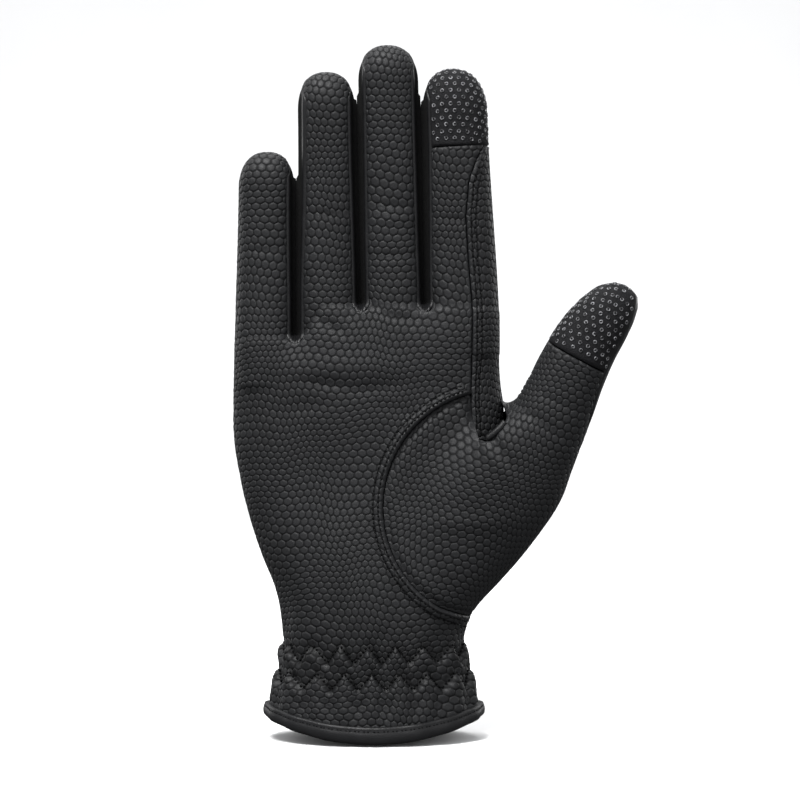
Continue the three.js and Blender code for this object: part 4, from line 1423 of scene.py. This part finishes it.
# Stitches along runs of flat points on one panel.
def stitches(name, runs, outline, rays, relief, pitch, length, thick, out=0.0):
    starts, ends, normals = [], [], []
    for run in runs:
        run = np.asarray(run, float)
        place = np.concatenate([[0], np.cumsum(np.linalg.norm(np.diff(run, axis=0), axis=1))])
        middles = np.arange(pitch / 2, place[-1] - length / 2, pitch)
        for shift, found in ((-length / 2, starts), (length / 2, ends)):
            flat = np.stack([np.interp(middles + shift, place, run[:, k]) for k in (0, 1)], axis=1)
            far, _, tag = outline.measure(flat)
            point, normal, height, _ = surface(rays, relief, flat, far, tag)
            found.append(point + normal * height[:, None])
        normals.append(normal)
    parts = (np.concatenate(part) for part in (starts, ends, normals))
    return thread_bars(name, *parts, thick, out)


def zigzag_runs():
    runs = []
    for top, low, start in ZIGZAG:
        x = start + GATHER_PITCH / 2 * np.arange(-12, 13)
        z = np.where(np.arange(-12, 13) % 2 == 0, top, low)
        keep = (x > seam_x(top, -1) + 1) & (x < seam_x(top, 1) - 1)
        runs += [np.stack([x[k:k + 2], z[k:k + 2]], axis=1) for k in np.flatnonzero(keep)[:-1]]
    return runs


palm_relief = hand_relief(FRONT_FOLDS)
arc_rows = [shifted(PALM_ARC_RUN, -SEAM - far)[2:-3] for far in (1.6, 3.4)]
stitches(
    "arc_stitches", arc_rows, palm, hand_front, palm_relief, pitch=1.55, length=0.9, thick=0.24,
)
stitches(
    "wrist_stitches", zigzag_runs(), palm, hand_front, palm_relief, pitch=1.4, length=0.8, thick=0.36,
    out=0.3,
)
side_rows = [shifted(SIDE_FRONT, -far)[2:-2] for far in (1.5, 2.9)]
stitches(
    "side_stitches", side_rows, side, side_rays, plain_relief, pitch=1.6, length=0.9, thick=0.22,
)


# The rolled strip in the web, between the side panel and the thumb.
def web_strip():
    run = curve_run([(-14.4, 33.6), (-13.2, 36.2), (-12.5, 38.6), (-12.4, 41)], 24)
    point, normal = on_glove(run, thumb_front)
    along = np.gradient(point, axis=0)
    along /= np.linalg.norm(along, axis=1)[:, None]
    aside = np.cross(along, normal)
    sides = 12
    points = []
    for k in range(sides):
        angle = 2 * HALF_TURN * k / sides
        points.append(point + 1.15 * (math.cos(angle) * aside + math.sin(angle) * normal) - 0.1 * normal)
    points = np.stack(points, axis=1)
    mesh = make_mesh("web_strip", points.reshape(-1, 3), tube_faces(len(run), sides))
    new_object("web_strip", mesh, LEATHER_PLAIN)


web_strip()

# The leather in the bottom of the web, under the edges of the panels that meet there. Rays from a
# line inside the thumb lean up at its lower end. along: place on that line; lean: degrees
WEB_RAYS = [
    # along, lean
    (29, 62), (34, 48), (38, 34), (42, 20), (46, 8), (50, 0), (70, 0),
]
WEB_UNDER = 0.7


def web_leather():
    rows, across = 41, 31
    table = np.array(WEB_RAYS, float)
    along = np.linspace(table[0, 0], table[-1, 0], rows)
    lean = np.radians(np.interp(along, table[:, 0], table[:, 1]))[:, None]
    around = np.linspace(0.6, 2.5, across)[None, :]
    way = np.stack([
        -np.sin(around) * np.cos(lean), -np.cos(around) + 0 * lean, np.sin(around) * np.sin(lean),
    ], axis=-1).reshape(-1, 3)
    origin = np.stack([np.full(rows, -THUMB_PIVOT), 0 * along, along], axis=1).repeat(across, axis=0)
    finger = np.full(len(origin), INDEX)
    point, normal = meet(from_thumb(origin), way @ THUMB_AXES.T * 0.5, finger, body_field)
    point -= normal * WEB_UNDER
    quads = short(point, grid_quads(rows, across), 3.0)
    mesh = make_mesh("web_leather", point, quads.tolist())
    piece = new_object("web_leather", mesh, LEATHER_PLAIN)
    wall = piece.modifiers.new("wall", "SOLIDIFY")
    wall.thickness = 0.5 * MM
    wall.offset = 0


web_leather()


GRIP_PITCH = 2.85
GRIP_ROW = 2.3
# Rings keep this far from a tip's edge and from each other
GRIP_LEAST = 1.2
GRIP_APART = 0.72 * GRIP_ROW
GRIP_ARCH = 0.012
RING_RADIUS = 0.52
RING_THICK = 0.19


# Printed grip rings in staggered, slightly arched rows on a textile tip.
def grip_rings(name, rays, outline, middle):
    low, high = outline.points.min(0), outline.points.max(0)
    spots = []
    for j, z in enumerate(np.arange(low[1] - 4, high[1] + 4, GRIP_ROW)):
        for x in np.arange(low[0] - 4, high[0] + 4, GRIP_PITCH):
            x = x + GRIP_PITCH / 2 * (j % 2)
            spots.append((x, z - GRIP_ARCH * (x - middle) ** 2))
    spots = np.array(spots)
    far, _, tag = outline.measure(spots)
    keep = far > GRIP_LEAST
    point, normal, height, _ = surface(rays, plain_relief, spots[keep], far[keep], tag[keep])
    centre = point + normal * height[:, None]
    free = np.ones(len(centre), bool)
    for k in range(1, len(centre)):
        free[k] = np.linalg.norm(centre[:k][free[:k]] - centre[k], axis=1).min() > GRIP_APART
    centre, normal = centre[free], normal[free]
    first = np.cross(normal, [0.3, 0.2, 1.0])
    first /= np.linalg.norm(first, axis=1)[:, None]
    second = np.cross(normal, first)
    around, tube = 14, 5
    points = []
    for angle in np.arange(around) * 2 * HALF_TURN / around:
        out_way = math.cos(angle) * first + math.sin(angle) * second
        for turn in np.arange(tube) * 2 * HALF_TURN / tube:
            reach = RING_RADIUS + RING_THICK * math.cos(turn)
            points.append(centre + reach * out_way + (0.1 + 0.17 * math.sin(turn)) * normal)
    points = np.stack(points, axis=1)
    faces = []
    for ring in range(len(centre)):
        for k in range(around):
            for j in range(tube):
                a, b = k * tube, (k + 1) % around * tube
                after = (j + 1) % tube
                corners = [a + j, b + j, b + after, a + after]
                faces.append([ring * around * tube + corner for corner in corners])
    mesh = make_mesh(name, points.reshape(-1, 3), faces)
    return new_object(name, mesh, GRIP)


grip_rings("index_grip_rings", hand_front, index_tip, middle=FX[INDEX] + FLEAN[INDEX])
grip_rings("thumb_grip_rings", thumb_front, thumb_tip, middle=1)

for slot_index, strip_name in enumerate(
    ["fourchette_little_ring", "fourchette_ring_middle", "fourchette_middle_index"]
):
    fourchette(strip_name, slot_index, LEATHER_PLAIN)


# The binding's section, from its inner edge round the hem to its outer edge
BINDING_SECTION = [
    # out of the leather, up
    (-2.4, 5.6), (-2.6, 3), (-2.5, 1.0), (-1.6, 0.1), (-0.3, 0.0), (0.9, 0.35), (1.5, 1.2), (1.75, 2.6),
    (1.7, 4.0), (1.3, 4.6), (1.45, 5.2), (1.2, 5.9), (0.5, 6.1), (-0.2, 5.9),
]
# Which of its points the stitches lie on
STITCHED = 9


# Binding: a strip folded over the hem, with its own stitches.
def binding():
    count = 400
    heights, flares, _ = np.array(CUFF_ROWS).T
    power = 2 / CUFF_ROWS[0][2]
    points = []
    for k in range(count):
        angle = 2 * HALF_TURN * k / count
        wave = 0.35 * math.cos(16 * angle + 0.5 * math.sin(5 * angle))
        c, s = math.cos(angle), math.sin(angle)
        for out, up in BINDING_SECTION:
            flare = float(curve(heights, flares, up / WRIST_HEIGHT))
            offset = out + wave * 0.6
            wide, deep = lerp(WRIST[0], HEM[0], flare) + offset, lerp(WRIST[1], HEM[1], flare) + offset
            x = wide * math.copysign(abs(c) ** power, c)
            y = deep * math.copysign(abs(s) ** power, s)
            points.append((x, y, up + HEM_RISE * (x / wide) ** 2 * (1 - up / WRIST_HEIGHT)))
    faces = []
    size = len(BINDING_SECTION)
    for k in range(count):
        for j in range(size):
            here, after = k * size, (k + 1) % count * size
            follow = (j + 1) % size
            faces.append([here + j, here + follow, after + follow, after + j])
    bars = []
    for k in range(0, 2 * count, 5):
        for share in (0, 0.55):
            bars.append(points[int((k / 2 + share * 2.5) % count) * size + STITCHED])
    bars = np.array(bars)
    outward = bars[::2] * [1, 1, 0]
    outward /= np.linalg.norm(outward, axis=1)[:, None]
    thread_bars("binding_stitches", bars[::2], bars[1::2], outward, 0.2, 0.12)
    mesh = make_mesh("cuff_binding_leather", np.array(points), faces)
    piece = new_object("cuff_binding_leather", mesh, LEATHER_PLAIN)
    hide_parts("cuff_binding")


binding()


def studio():
    floor = bpy.data.meshes.new("floor")
    side, back, top, bend = 3.0, 2.2, 3.0, 0.6
    rows = [(-side, 0.0)]
    for t in np.linspace(0, QUARTER, 16):
        rows.append((back - bend + bend * math.sin(t), bend - bend * math.cos(t)))
    rows.append((back, top))
    points = [(x, y, z - 0.0006) for y, z in rows for x in (-side, side)]
    faces = [[2 * k, 2 * k + 1, 2 * k + 3, 2 * k + 2] for k in range(len(rows) - 1)]
    floor.from_pydata(points, [], faces)
    for polygon in floor.polygons:
        polygon.use_smooth = True
    backdrop = bpy.data.objects.new("floor", floor)
    bpy.context.scene.collection.objects.link(backdrop)
    floor.materials.append(floor_paper())

    def area(name, place, aim, size, power):
        light = bpy.data.lights.new(name, "AREA")
        light.shape = "RECTANGLE"
        light.size, light.size_y = size
        light.energy = power
        lamp = bpy.data.objects.new(name, light)
        bpy.context.scene.collection.objects.link(lamp)
        lamp.location = place
        way = np.array(aim) - np.array(place)
        lamp.rotation_euler = (
            math.acos(-way[2] / np.linalg.norm(way)), 0, math.atan2(way[1], way[0]) - QUARTER,
        )

    area("key", (-0.22, -0.5, 0.95), (0, 0, 0.22), (0.35, 0.35), 18.5)
    area("fill", (0.5, -1.0, 0.4), (0, 0, 0.14), (0.5, 0.6), 1.5)
    area("top", (0, 0.95, 1.5), (0, 0.95, 0), (1.8, 1.2), 20)
    area("rear_left", (-0.9, 0.7, 0.5), (0, 0, 0.12), (0.6, 0.8), 5)
    area("rear_right", (0.9, 0.8, 0.5), (0, 0, 0.12), (0.6, 0.8), 5)
    backdrop.visible_diffuse = False
    backdrop.visible_glossy = False

    # the sky is brightest on the camera's side
    world = bpy.data.worlds.new("studio")
    world.use_nodes = True
    tree = world.node_tree
    where = tree.nodes.new("ShaderNodeTexCoord")
    split = tree.nodes.new("ShaderNodeVectorMath")
    split.operation = "DOT_PRODUCT"
    spread = tree.nodes.new("ShaderNodeMapRange")
    for key, value in (("From Min", -1), ("From Max", 1), ("To Min", 0.05), ("To Max", 0.95)):
        spread.inputs[key].default_value = value
    tree.links.new(where.outputs["Generated"], split.inputs[0])
    split.inputs[1].default_value = (0, -0.7, 0.71)
    tree.links.new(split.outputs["Value"], spread.inputs["Value"])
    tree.links.new(spread.outputs["Result"], tree.nodes["Background"].inputs["Strength"])
    tree.nodes["Background"].inputs["Color"].default_value = (0.97, 0.98, 1, 1)
    bpy.context.scene.world = world
    bpy.context.scene.view_settings.view_transform = "Standard"


CAMERA = (0.0089, -0.87, 0.1151)
FRAME_WIDTH = 0.2744


def camera():
    data = bpy.data.cameras.new("camera")
    data.sensor_width = 36
    data.lens = 36 * -CAMERA[1] / FRAME_WIDTH
    item = bpy.data.objects.new("camera", data)
    bpy.context.scene.collection.objects.link(item)
    item.location = CAMERA
    item.rotation_euler = (QUARTER, 0, 0)
    bpy.context.scene.camera = item


studio()
camera()
